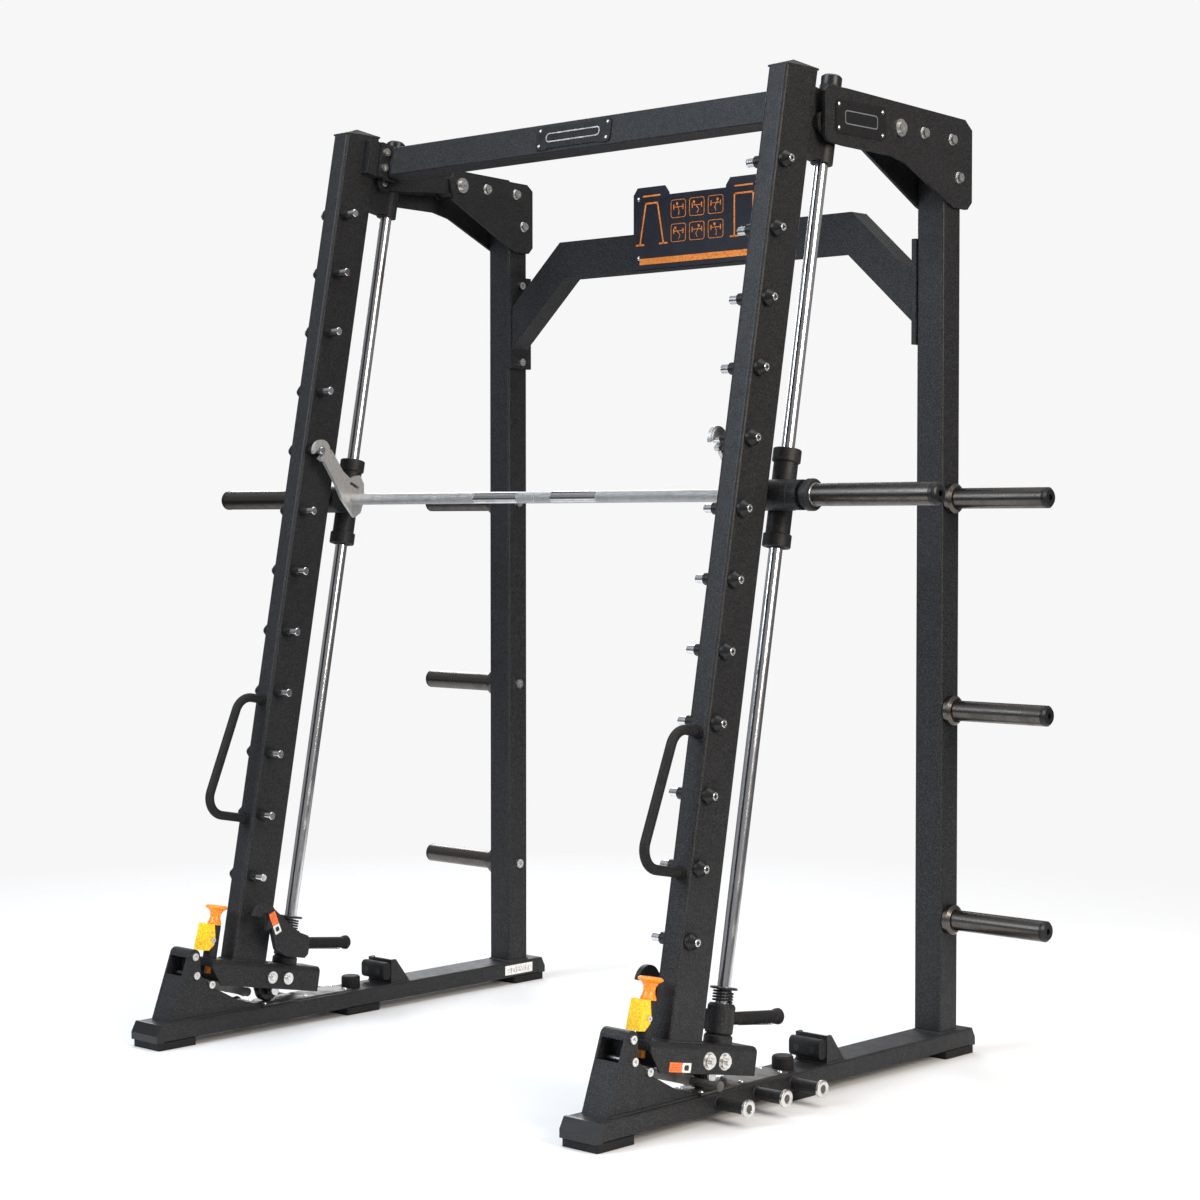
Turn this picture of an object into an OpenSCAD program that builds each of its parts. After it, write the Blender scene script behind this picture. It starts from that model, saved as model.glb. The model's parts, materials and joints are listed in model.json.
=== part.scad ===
// Convertible smith machine: a fixed base and rear frame, and a front frame that leans on two rollers.
// Frame: +X to the right seen from the front, +Y to the rear, +Z up.
// Origin: middle of the footprint, on the floor.
// Parts of the leaning front frame are drawn in its own upright frame (x, depth behind the front face,
// height along the upright) and placed by front_frame().

/* [Overall] */
// Distance from the centre plane to the middle of each side of the machine
side_x = 712; // [690:1:740]
// Height of the front uprights above the floor
upright_top = 2245; // [2200:5:2300]
// Lean of the front frame from vertical, in degrees
lean = 10.5; // [10:0.5:11]
// Where the front faces of the front uprights would meet the floor
lean_foot_y = -447; // [-455:1:-440]

/* [Base] */
// Width of a base rail
rail_w = 100; // [96:1:104]
// Height of a base rail
rail_h = 42; // [40:1:44]
// Half the length of a base rail, without its end caps
rail_half = 640; // [630:5:650]
// Thickness of a rubber floor pad
pad_h = 18; // [14:1:20]
// Wall of the tubes
wall = 3; // [2:0.5:4]

/* [Rear frame] */
// Width of a rear upright across the machine
rear_w = 75; // [70:1:78]
// Depth of a rear upright
rear_d = 70; // [60:1:80]
// Front face of the rear uprights
rear_y = 536; // [530:1:540]
// Heights of the plate storage horns
horn_z = [326, 818, 1314];
// Reach of a storage horn from the centre plane
horn_tip_x = 1022; // [1000:1:1060]
// Radius of a storage horn
horn_r = 24; // [22:0.5:25]

/* [Front frame] */
// Width of a front upright across the machine
front_w = 54; // [50:1:58]
// Depth of a front upright
front_d = 109; // [100:1:112]
// Depth of the guide rods behind the front faces
rod_depth = 188; // [186:1:190]
// Radius of a guide rod
rod_r = 15; // [14:0.5:15]
// Height of the top peg along the upright
peg_top = 2079; // [2060:1:2100]
// Spacing of the pegs
peg_step = 153; // [152:0.5:154]
// Number of pegs on an upright
peg_count = 12; // [10:1:12]

/* [Bar] */
// Radius of the bar where it is gripped
bar_r = 14; // [13:0.5:14.5]
// Radius of a plate sleeve
sleeve_r = 24.5; // [24:0.1:25]
// Reach of the bar from the centre plane
bar_tip_x = 1155; // [1120:5:1180]

/* [Hidden] */
$fn = 48;
eps = 0.01;
run_fit = 0.05;
rail_z = pad_h + rail_h;
inner_x = side_x - rear_w / 2;
outer_x = side_x + rear_w / 2;
front_in_x = side_x - front_w / 2;
front_out_x = side_x + front_w / 2;
rear_mid_y = rear_y + rear_d / 2;
// Bolts of the nose boxes; the first is the pedal's hinge
nose_bolts = [[-489, 136], [-535, 164], [-539, 210]];
// Rear cross member and its bolts
cross_z = 2001;
cross_h = 95;
cross_d = 60;
cross_half = 483;
shoulder = 42;
flange_bolt_z = [1693, 1900];
// Gusset plates and the pivot of the links
gusset_holes = [[447, 2149], [558, 2146], [586, 2061]];
gusset_t = 8;
link_y = 353;
link_z = 2150;
link_pin_r = 12;
// Open pivot where the links meet the front frame
hitch_depth = 140;
hitch_h = 2195;
hitch_pin_r = 10;
hitch_hole_r = 14;
hitch_y = lean_foot_y + hitch_h * sin(lean) + hitch_depth * cos(lean);
hitch_z = hitch_h * cos(lean) - hitch_depth * sin(lean);
// Front cross member
beam_depth = [120, 170];
beam_h = [2205, 2280];
beam_half = side_x - 51;
bracket_holes = [[106, 2222], [106, 2262]];
// Carriage boxes under the uprights
box_w = 87;
box_t = 4;
box_front = -75;
box_wedge = [[-80, 168], [-75, 168], [-38, 125], [-38, 120], [-80, 120]];
box_rear = 272;
box_low = 126;
box_high = 188;
roller_depth = 140;
roller_h = 122;
roller_r = 30.1;
roller_axle_r = 8;
// Lock plunger in front of the upright, and the bolt of its latch plate
lock_depth = -52;
plunger_r = 8;
latch_bolt = [-64.5, 232];
// Pegs
peg_depth = 24;
pin_r = 9.5;
pin_end_x = side_x - 72;
bush_end_x = front_in_x - 20;
knob_end_x = front_out_x + 24;
shank_r = 6;
// Bar
rest_peg = 4;
bar_depth = 152;
bar_h = 1367.5;
carriage_half = 109;
hub_in_x = side_x - 22;
hub_out_x = 800;
collar_x = [806, 832];
hook_x = [643, 653];
peg_dir = [peg_depth - bar_depth, peg_top - rest_peg * peg_step - bar_h];
peg_angle = atan2(peg_dir[1], peg_dir[0]);
// Safety stops
stop_low = 206.5;
stop_high = 272;
stop_hook_x = [624, 636];
stop_hook_h = 302;
// Depth of the hook's mouth, which comes level with a peg when the stop is turned 6 degrees outwards
stop_hook_e = 31.7;
grip_rise = 4;

// Place children in the frame of the leaning front frame
module front_frame() {
    translate([0, lean_foot_y, 0]) rotate([-lean, 0, 0]) children();
}
// A copy on each side of the machine
module both_sides() {
    for (side = [0, 1]) mirror([side, 0, 0]) children();
}
// A cylinder along X from x0 to x1
module rod_x(x0, x1, r) {
    translate([x0, 0, 0]) rotate([0, 90, 0]) cylinder(h = x1 - x0, r = r);
}
// A rectangle with round corners, centred
module round_rect(w, d, r) {
    square([w - 2 * r, d], center = true);
    square([w, d - 2 * r], center = true);
    for (x = [-1, 1], y = [-1, 1]) translate([x * (w / 2 - r), y * (d / 2 - r)]) circle(r = r);
}
// A hollow rectangular tube with round corners, along Z
module tube_z(w, d, h, r = 6) {
    linear_extrude(h) difference() {
        round_rect(w, d, r);
        round_rect(w - 2 * wall, d - 2 * wall, r - wall + 0.5);
    }
}
// A plate in the YZ plane from x0 to x1, drawn from [y, z] points
module plate_x(x0, x1) {
    translate([x0, 0, 0]) rotate([90, 0, 90]) linear_extrude(x1 - x0) children();
}
// A bar with round ends between two points of a drawing; the ends stand a little proud
module strip(a, b, w) {
    d = b - a;
    flat = w * 0.94;
    translate(a) rotate(atan2(d[1], d[0])) translate([0, -flat / 2]) square([norm(d), flat]);
    translate(a) circle(d = w);
    translate(b) circle(d = w);
}
// A socket screw head along +X with a hex recess
module screw_head(r, h) {
    difference() {
        rod_x(0, h, r);
        translate([h - h * 0.6, 0, 0]) rotate([0, 90, 0]) cylinder(h = h, r = r * 0.5, $fn = 6);
    }
}

// ---- Base ----
module rail() {
    color("#1d1d1f") translate([side_x, rail_half, pad_h + rail_h / 2]) rotate([90, 0, 0])
        tube_z(rail_w, rail_h, 2 * rail_half, 5);
}
module rail_end_caps() {
    color("#17171a") both_sides() for (end = [0, 1]) mirror([0, end, 0])
        translate([side_x - rail_w / 2, rail_half, pad_h]) rotate([90, 0, 90]) linear_extrude(rail_w)
            polygon([[0, 0], [22, 0], [22, rail_h * 0.42], [9, rail_h], [0, rail_h]]);
}
module floor_pads() {
    color("#121214") both_sides() for (y = [-600, -5, 600])
        translate([side_x, y, 0]) linear_extrude(pad_h) round_rect(rail_w, 112, 5);
}
module nose_box() {
    side = [
        [-612, rail_z], [-557, 212], [-521, 206], [-519, 161], [-500, 147], [-474, 124],
        [-400, 84], [-330, 64], [-330, rail_z]
    ];
    x_in = side_x - 36;
    x_out = side_x + 36;
    tip = nose_bolts[2];
    difference() {
        union() {
            for (x = [x_in, x_out - 6]) plate_x(x, x + 6) {
                polygon(side);
                translate(tip) circle(r = 18);
            }
            plate_x(x_in + 6, x_out - 6)
                polygon([[-612, rail_z], [-573, 166], [-567, 166], [-605.5, rail_z]]);
            plate_x(x_in + 6, x_out - 6)
                polygon([[-526, 205], [-522, 205], [-520, 150], [-524, 150]]);
            plate_x(x_in + 6, x_out - 6) intersection() {
                difference() {
                    translate(tip) circle(r = 18);
                    translate(tip) circle(r = 14);
                }
                translate([tip[0] - 30, tip[1]]) square([60, 40]);
            }
        }
        for (p = nose_bolts) translate([0, p[0], p[1]]) rod_x(x_in - 1, x_out + 1, 6);
    }
}
module nose_boxes() {
    color("#1f1f22") both_sides() nose_box();
}
module rubber_stops() {
    color("#141416") both_sides() translate([side_x, -6, rail_z]) rotate_extrude()
        polygon([[0, 0], [24, 0], [24, 26], [21, 30], [0, 30]]);
}
module bumper_blocks() {
    color("#151517") both_sides() translate([side_x - 42, 82, 94]) rotate([90, 0, 90])
        linear_extrude(84) round_rect(27, 44, 12);
}
module bumper_brackets() {
    color("#1d1d1f") both_sides() {
        translate([side_x - 44, 95.5, rail_z]) cube([88, 6, 62]);
        for (x = [side_x - 44, side_x + 38]) plate_x(x, x + 6)
            polygon([[101.5, rail_z], [160, rail_z], [112, rail_z + 62], [101.5, rail_z + 62]]);
    }
}
module wear_plates() {
    color("#77756f") both_sides() translate([side_x - 40, -328, rail_z]) cube([80, 292, 4]);
}
module band_pegs() {
    color("#1b1b1d") both_sides() for (y = [-281, -155, -31])
        translate([0, y, rail_z - rail_h / 2]) {
            rod_x(side_x + rail_w / 2, 838, 14);
            translate([838, 0, 0]) screw_head(19, 5);
        }
}

// ---- Rear frame ----
module rear_uprights() {
    color("#1d1d1f") both_sides() difference() {
        translate([side_x, rear_mid_y, rail_z]) tube_z(rear_w, rear_d, 2110);
        for (z = horn_z) translate([0, rear_mid_y, z]) rod_x(inner_x - 1, outer_x + 1, 8);
        for (z = flange_bolt_z) translate([0, rear_mid_y, z]) rod_x(inner_x - 1, side_x, 6);
        for (p = gusset_holes) translate([0, p[0], p[1]]) rod_x(inner_x - 1, outer_x + 1, 6);
    }
}
module gussets_outer() {
    color("#232326") both_sides() difference() {
        plate_x(outer_x, outer_x + gusset_t) {
            polygon([
                [78, 2104], [92, 2091], [150, 2087], [330, 2084], [386, 2072], [548, 1998], [566, 1990],
                [622, 1990], [640, 2008], [640, 2176], [612, 2198], [160, 2214], [92, 2214], [78, 2200]
            ]);
        }
        translate([0, link_y, link_z]) rod_x(outer_x - 1, outer_x + gusset_t + 1, link_pin_r);
        for (p = gusset_holes) translate([0, p[0], p[1]]) rod_x(outer_x - 1, outer_x + gusset_t + 1, 6);
    }
}
module gussets_inner() {
    color("#232326") both_sides() difference() {
        plate_x(inner_x - gusset_t, inner_x) {
            polygon([
                [318, 2112], [540, 1996], [556, 1990], [606, 1990], [621, 2006], [621, 2160],
                [600, 2176], [353, 2184]
            ]);
            translate([link_y, link_z]) circle(r = 40);
        }
        translate([0, link_y, link_z]) rod_x(inner_x - gusset_t - 1, inner_x + 1, link_pin_r);
        for (p = gusset_holes) translate([0, p[0], p[1]]) rod_x(inner_x - gusset_t - 1, inner_x + 1, 6);
    }
}
module pivot_pins() {
    color("#c9c9cc") both_sides() translate([0, link_y, link_z]) {
        rod_x(inner_x - gusset_t - 5, outer_x + gusset_t + 5, link_pin_r);
        for (x = [inner_x - gusset_t - 5, outer_x + gusset_t]) rod_x(x, x + 5, 20);
        translate([outer_x + gusset_t + 5, 0, 0]) screw_head(13, 7);
        translate([inner_x - gusset_t - 5, 0, 0]) mirror([1, 0, 0]) screw_head(13, 7);
    }
}
// The rear cross member is an arch with mitred shoulders
module arch_outline(inset) {
    top = cross_z - inset;
    low = cross_z - cross_h + inset;
    k = 0.19;
    x0 = cross_half - inset * k;
    x1 = cross_half - (cross_h - inset) * k;
    far = inner_x - 12;
    top_end = top - (far - x0) * tan(shoulder);
    low_end = low - (far - x1) * tan(shoulder);
    polygon([
        [-x0, top], [x0, top], [far, top_end], [far, low_end],
        [x1, low], [-x1, low], [-far, low_end], [-far, top_end]
    ]);
}
module rear_cross_member() {
    color("#1e1e22") difference() {
        union() {
            translate([0, rear_y + cross_d, 0]) rotate([90, 0, 0]) linear_extrude(cross_d)
                difference() {
                    arch_outline(0);
                    arch_outline(wall);
                }
            for (y = [rear_y, rear_y + cross_d - wall]) translate([0, y + wall, 0]) rotate([90, 0, 0])
                linear_extrude(wall) arch_outline(wall - eps);
            for (side = [0, 1]) mirror([side, 0, 0])
                translate([inner_x - 12, rear_y - 4, 1675]) cube([12, rear_d + 8, 247]);
        }
        for (side = [0, 1], z = flange_bolt_z) mirror([side, 0, 0])
            translate([0, rear_mid_y, z]) rod_x(inner_x - 13, inner_x + 1, 6);
    }
}
module placard() {
    color("#15161c") translate([0, rear_y, 0]) rotate([90, 0, 0]) linear_extrude(4) {
        translate([-215, 1908]) square([430, 186]);
        for (x = [-215, 95]) placard_hump(x);
    }
}
module placard_hump(x) {
    polygon([[x, 2093], [x + 120, 2093], [x + 120, 2100], [x + 106, 2118], [x + 14, 2118], [x, 2100]]);
}
module storage_horns() {
    color("#45464a") both_sides() for (z = horn_z) translate([0, rear_mid_y, z]) difference() {
        union() {
            translate([outer_x, 0, 0]) rotate([0, 90, 0])
                rotate_extrude() polygon([[0, 0], [32, 0], [35, 3], [35, 14], [28, 21], [0, 21]]);
            rod_x(outer_x, horn_tip_x - 12, horn_r);
        }
        rod_x(outer_x - 1, outer_x + 30, 8);
        rod_x(horn_tip_x - 40, horn_tip_x - 11, 10);
    }
}
module horn_end_caps() {
    color("#151517") both_sides() for (z = horn_z) translate([horn_tip_x - 12, rear_mid_y, z])
        rotate([0, 90, 0]) difference() {
            union() {
                rotate_extrude() polygon([[0, 0], [horn_r, 0], [horn_r, 7], [horn_r - 5, 12], [0, 12]]);
                translate([0, 0, -20]) cylinder(h = 21, r = 10);
            }
            translate([0, 0, 5]) cylinder(h = 10, r = 8, $fn = 6);
        }
}
module frame_bolts() {
    color("#b9babd") both_sides() {
        for (z = horn_z) translate([0, rear_mid_y, z]) {
            rod_x(inner_x, outer_x + 28, 8);
            translate([inner_x, 0, 0]) mirror([1, 0, 0]) screw_head(12, 8);
        }
        for (z = flange_bolt_z) translate([0, rear_mid_y, z]) {
            rod_x(inner_x - 12, inner_x + 14, 6);
            translate([inner_x - 12, 0, 0]) mirror([1, 0, 0]) screw_head(10, 8);
        }
        for (p = gusset_holes) translate([0, p[0], p[1]]) {
            rod_x(inner_x - gusset_t, outer_x + gusset_t, 6);
            translate([outer_x + gusset_t, 0, 0]) screw_head(10, 9);
            translate([inner_x - gusset_t, 0, 0]) mirror([1, 0, 0]) screw_head(10, 9);
        }
        for (p = nose_bolts) translate([0, p[0], p[1]]) {
            rod_x(side_x - 36, side_x + 36, 6);
            translate([side_x + 36, 0, 0]) screw_head(9, 7);
            translate([side_x - 36, 0, 0]) mirror([1, 0, 0]) screw_head(9, 7);
        }
        translate([0, gusset_holes[0][0], gusset_holes[0][1]]) difference() {
            rod_x(inner_x, outer_x, 12);
            rod_x(inner_x - 1, outer_x + 1, 6);
        }
    }
}

// ---- Front frame ----
module peg_places() {
    for (i = [0 : peg_count - 1]) translate([0, peg_depth, peg_top - i * peg_step]) children();
}
module front_upright() {
    color("#242427") difference() {
        front_frame() difference() {
            translate([side_x, front_d / 2, box_high]) tube_z(front_w, front_d, 2200, 8);
            peg_places() rod_x(front_in_x - 1, front_out_x + 1, shank_r);
        }
        translate([side_x - 100, -400, upright_top]) cube([200, 800, 200]);
    }
}
module upright_caps() {
    y0 = lean_foot_y + upright_top * tan(lean);
    d = front_d / cos(lean);
    color("#2a2a2d") both_sides() translate([side_x, y0 + d / 2, upright_top]) {
        intersection() {
            rotate([90, 0, 0]) linear_extrude(2 * d, center = true)
                polygon([[-front_w / 2, 0], [front_w / 2, 0], [front_w / 2, 4], [0, 20], [-front_w / 2, 4]]);
            rotate([90, 0, 90]) linear_extrude(2 * d, center = true)
                polygon([[-d / 2, 0], [d / 2, 0], [d / 2, 4], [0, 20], [-d / 2, 4]]);
        }
    }
}
module peg_pins() {
    reach = bush_end_x - pin_end_x;
    color("#d4d4d6") front_frame() peg_places() {
        rod_x(bush_end_x, knob_end_x, shank_r);
        translate([pin_end_x, 0, 0]) rotate([0, 90, 0]) rotate_extrude()
            polygon([[0, 0], [pin_r - 1.5, 0], [pin_r, 1.5], [pin_r, reach], [0, reach]]);
    }
}
module peg_bushings() {
    color("#19191b") both_sides() front_frame() peg_places() difference() {
        rod_x(bush_end_x, front_in_x, 13.5);
        rod_x(bush_end_x - 1, front_in_x + 1, shank_r);
    }
}
module peg_knobs() {
    reach = knob_end_x - front_out_x;
    color("#131315") both_sides() front_frame() peg_places() translate([front_out_x, 0, 0])
        rotate([0, 90, 0]) rotate_extrude() polygon([
            [shank_r, 0], [17, 0], [18, 2], [18, 10], [16, 13], [10, reach - 1], [9, reach], [shank_r, reach]
        ]);
}
// A straight round bar of the front frame between two [depth, height] points
module bar_between(a, b, r) {
    d = b - a;
    translate([side_x, a[0], a[1]]) rotate([-atan2(d[0], d[1]), 0, 0]) cylinder(h = norm(d), r = r);
}
module side_handle() {
    r = 11;
    bend = 45;
    slope = 12;
    top = [-33, 832];
    low = [-76, 535];
    for (e = [[top, 832 - bend, 90, 90 - slope], [low, 535 + bend, 180 - slope, 90 + slope]])
        translate([side_x, e[0][0], e[1]]) rotate([90, 0, 90]) rotate([0, 0, e[2]])
            rotate_extrude(angle = e[3]) translate([bend, 0]) circle(r = r);
    reach = bend * [-cos(slope), sin(slope)];
    bar_between([low[0], low[1] + bend] + reach, [top[0], top[1] - bend] + reach, r);
    bar_between(top, [0, top[1]], r);
    bar_between(low, [0, low[1]], r);
    for (h = [top[1], low[1]]) bar_between([-6, h], [0, h], 15);
}
module side_handles() {
    color("#17171a") both_sides() front_frame() side_handle();
}
// Front cross member and its bolted ends
module front_cross_member() {
    color("#232327") front_frame() difference() {
        union() {
            translate([-beam_half, (beam_depth[0] + beam_depth[1]) / 2, (beam_h[0] + beam_h[1]) / 2])
                rotate([0, 90, 0]) tube_z(75, 50, 2 * beam_half, 5);
            for (side = [0, 1]) mirror([side, 0, 0])
                translate([beam_half - 8, 92, 2198]) cube([8, 86, 88]);
        }
        for (side = [0, 1], p = bracket_holes) mirror([side, 0, 0])
            translate([0, p[0], p[1]]) rod_x(beam_half - 9, beam_half + 1, 6);
    }
}
module cross_brackets() {
    color("#1c1c1f") both_sides() front_frame() difference() {
        union() {
            translate([beam_half, 62, 2198]) cube([8, 116, 88]);
            translate([beam_half + 8, 62, 2198]) cube([front_in_x - beam_half - 8, 45, 88]);
        }
        for (p = bracket_holes) translate([0, p[0], p[1]]) rod_x(beam_half - 1, front_in_x + 1, 6);
    }
}
module badge_plate() {
    color("#2c2c30") front_frame() translate([0, beam_depth[0], (beam_h[0] + beam_h[1]) / 2])
        rotate([90, 0, 0]) linear_extrude(3) difference() {
            round_rect(245, 58, 10);
            for (y = [-1, 1]) translate([0, y * 34]) badge_notch();
        }
}
module badge_notch() {
    polygon([[-92, 0], [-82, -8], [82, -8], [92, 0], [82, 8], [-82, 8]]);
}
module rod_heads() {
    color("#1a1a1d") both_sides() front_frame() difference() {
        union() {
            translate([side_x - 18, front_d, 2120]) cube([36, rod_depth - front_d, 150]);
            translate([side_x, rod_depth, 2118]) cylinder(h = 177, r = 25);
        }
        translate([side_x, rod_depth, 2117]) cylinder(h = 179, r = rod_r);
        translate([0, hitch_depth, hitch_h]) rod_x(side_x - 20, side_x + 20, hitch_pin_r);
    }
}
module rod_top_caps() {
    color("#141416") both_sides() front_frame() translate([side_x, rod_depth, 2295]) rotate_extrude()
        polygon([[0, 0], [24, 0], [24, 20], [20, 24], [0, 24]]);
}
module rod_feet() {
    color("#161618") both_sides() front_frame() translate([side_x, rod_depth, box_high])
        rotate_extrude() polygon([[rod_r, 0], [31, 0], [31, 14], [28, 18], [rod_r, 18]]);
}
module guide_rod() {
    color("#dcdcde") front_frame() translate([side_x, rod_depth, box_high])
        cylinder(h = 2295 - box_high, r = rod_r);
}
module box_section(inset) {
    w = box_w / 2 - inset;
    h = box_high - box_low - inset;
    r = 14 - inset;
    translate([-w, 0]) square([2 * w, h - r]);
    translate([-w + r, 0]) square([2 * (w - r), h]);
    for (x = [-1, 1]) translate([x * (w - r), h - r]) circle(r = r);
}
module carriage_box() {
    length = box_rear - box_front;
    difference() {
        union() {
            translate([side_x, box_rear, box_low]) rotate([90, 0, 0]) linear_extrude(length) difference() {
                box_section(0);
                translate([0, -eps]) box_section(box_t);
            }
            translate([side_x, box_front + box_t, box_low]) rotate([90, 0, 0]) linear_extrude(box_t)
                difference() {
                    box_section(box_t - eps);
                    translate([-box_w, -1]) square([2 * box_w, 43]);
                }
            for (x = [side_x - 28, side_x + 22]) plate_x(x, x + 6) {
                translate([roller_depth - 16, roller_h]) square([32, box_high - box_t - roller_h]);
                translate([roller_depth, roller_h]) circle(r = 16);
            }
        }
        plate_x(side_x - box_w, side_x + box_w) polygon(box_wedge);
        translate([0, roller_depth, roller_h]) rod_x(side_x - 40, side_x + 40, roller_axle_r + run_fit);
        translate([side_x, lock_depth, box_high - box_t - 1])
            cylinder(h = box_t + 2, r = plunger_r + run_fit);
        for (d = [115, 166]) translate([0, d, 154]) rod_x(side_x - 50, side_x + 50, 7);
    }
}
module carriage_boxes() {
    color("#1c1c1e") both_sides() front_frame() carriage_box();
}
module lock_tubes() {
    color("#161618") both_sides() front_frame() difference() {
        translate([side_x, lock_depth, box_high]) cylinder(h = 80, r = 17);
        translate([side_x, lock_depth, box_high - 1]) cylinder(h = 82, r = plunger_r + run_fit);
        translate([0, latch_bolt[0], latch_bolt[1]]) rod_x(side_x - 20, side_x + 20, 3);
    }
}
module latch_plates() {
    color("#e8b713") both_sides() front_frame() difference() {
        union() {
            for (x = [side_x - 19, side_x + 17]) plate_x(x, x + 2) {
                polygon([[-84, 270], [-66, 270], [-58, 240], [-58, 222], [-72, 206], [-90, 205]]);
                translate(latch_bolt) circle(r = 8);
            }
            plate_x(side_x - 17, side_x + 17) polygon([[-84, 270], [-81, 270], [-87, 205], [-90, 205]]);
        }
        translate([0, latch_bolt[0], latch_bolt[1]]) rod_x(side_x - 22, side_x + 22, 3);
    }
}
module front_bolts() {
    color("#bfc0c3") both_sides() front_frame() {
        for (d = [115, 166], s = [-1, 1]) translate([side_x + s * box_w / 2, d, 154]) {
            if (s > 0) screw_head(15, 7); else mirror([1, 0, 0]) screw_head(15, 7);
            rod_x(-14, 14, 7 - run_fit);
        }
        for (p = bracket_holes) translate([0, p[0], p[1]]) {
            rod_x(beam_half - 8, front_in_x, 6);
            translate([beam_half - 8, 0, 0]) mirror([1, 0, 0]) screw_head(10, 8);
        }
        translate([0, hitch_depth, hitch_h]) rod_x(side_x - 33, side_x + 33, hitch_pin_r);
        translate([0, latch_bolt[0], latch_bolt[1]]) {
            rod_x(side_x - 19, side_x + 19, 3);
            translate([side_x + 19, 0, 0]) screw_head(6, 4);
            translate([side_x - 19, 0, 0]) mirror([1, 0, 0]) screw_head(6, 4);
        }
    }
}

// ---- Rollers and links ----
module roller_axles() {
    color("#a9aaad") both_sides() front_frame() translate([0, roller_depth, roller_h]) {
        rod_x(side_x - 36, side_x + 36, roller_axle_r);
        for (x = [side_x - 37, side_x + 31]) rod_x(x, x + 6, 12);
    }
}
module roller() {
    color("#26262a") front_frame() translate([side_x - 12, roller_depth, roller_h]) rotate([0, 90, 0])
        rotate_extrude() polygon([
            [roller_axle_r + run_fit, 0], [roller_r - 3, 0], [roller_r, 3], [roller_r, 21],
            [roller_r - 3, 24], [roller_axle_r + run_fit, 24]
        ]);
}
module link_outline() {
    reach = [link_y - hitch_y, link_z - hitch_z];
    translate([hitch_y, hitch_z]) {
        circle(r = 24);
        rotate(atan2(reach[1], reach[0])) translate([0, -20]) square([norm(reach), 40]);
        translate(reach) circle(r = 34);
    }
}
module pivot_links() {
    color("#1d1d20") both_sides() difference() {
        union() {
            for (x = [side_x - 34, side_x + 27]) plate_x(x, x + 7) link_outline();
            translate([0, link_y, link_z]) rod_x(side_x - 28, side_x + 28, 26);
        }
        translate([0, link_y, link_z]) rod_x(inner_x - 1, outer_x + 1, link_pin_r + run_fit);
        translate([0, hitch_y, hitch_z]) rod_x(side_x - 40, side_x + 40, hitch_hole_r);
    }
}

// ---- Pedals and lock pins ----
module pedal() {
    hinge = nose_bolts[0];
    toe = [-334, 90];
    color("#8a8780") {
        difference() {
            plate_x(side_x + 14, side_x + 20) {
                strip(hinge, toe, 22);
                polygon([[-488, 147], [-360, 108], [-336, 101], [-345, 80]]);
            }
            translate([0, hinge[0], hinge[1]]) rod_x(side_x + 13, side_x + 21, 6 + run_fit);
        }
        translate([0, toe[0], toe[1]]) {
            rod_x(side_x + 20, side_x + 96, 8);
            rod_x(side_x + 92, side_x + 98, 11);
        }
    }
}
module pull_knob() {
    color("#e8862a") front_frame() translate([side_x, lock_depth, 0]) {
        translate([0, 0, 150]) cylinder(h = 130, r = plunger_r);
        translate([0, 0, 269]) rotate_extrude() polygon([
            [0, 0], [17, 0], [17, 4], [14, 11], [12.5, 18], [13.5, 27], [18, 35], [25, 39],
            [27, 41], [27, 44], [23, 47], [0, 47]
        ]);
    }
}

// ---- Bar ----
module at_bar() {
    front_frame() translate([0, bar_depth, bar_h]) children();
}
module bar_shaft() {
    color("#c4c5c8") at_bar() rod_x(-bar_tip_x + 38, bar_tip_x - 38, bar_r);
}
module bar_sleeves() {
    x0 = collar_x[1];
    reach = bar_tip_x - x0;
    color("#4a4b4f") both_sides() at_bar() translate([x0, 0, 0]) rotate([0, 90, 0]) difference() {
        rotate_extrude() polygon([
            [bar_r, 0], [sleeve_r, 0], [sleeve_r, reach - 7], [sleeve_r - 7, reach], [0, reach],
            [0, reach - 38], [bar_r, reach - 38]
        ]);
        translate([0, 0, reach - 12]) cylinder(h = 20, r = 7, $fn = 6);
    }
}
module bar_collars() {
    color("#17171a") both_sides() at_bar() translate([collar_x[0], 0, 0]) rotate([0, 90, 0])
        rotate_extrude() polygon([
            [bar_r, 0], [28, 0], [28, 6], [35, 10], [35, 22], [31, 26], [bar_r, 26]
        ]);
}
// What the nose of a hook is opened by: a seat round the peg and a mouth below it
module hook_mouth() {
    translate(peg_dir) {
        circle(r = 11);
        rotate(peg_angle + 90) translate([0, -10.5]) square([60, 21]);
        rotate(peg_angle + 90) translate([18, -10.5]) square([60, 60]);
    }
}
module bar_hook_outline() {
    difference() {
        union() {
            polygon([
                [-118, 76], [-69, 27], [-42, -6], [8, -46], [26, -30], [31, 4], [24, 44],
                [8, 63], [-8, 58], [-22, 48], [-50, 62], [-98, 108]
            ]);
            translate(peg_dir) circle(r = 27);
        }
        circle(r = bar_r);
        strip([-18, 37], [4, 31], 8);
    }
}
module bar_hooks() {
    color("#b4b5b8") both_sides() at_bar() difference() {
        union() {
            plate_x(hook_x[0], hook_x[1]) bar_hook_outline();
            plate_x(hook_x[1] - 1, hook_x[1] + 4) translate(peg_dir) circle(r = 24);
        }
        plate_x(hook_x[0] - 1, hook_x[1] + 5) hook_mouth();
    }
}
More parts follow.
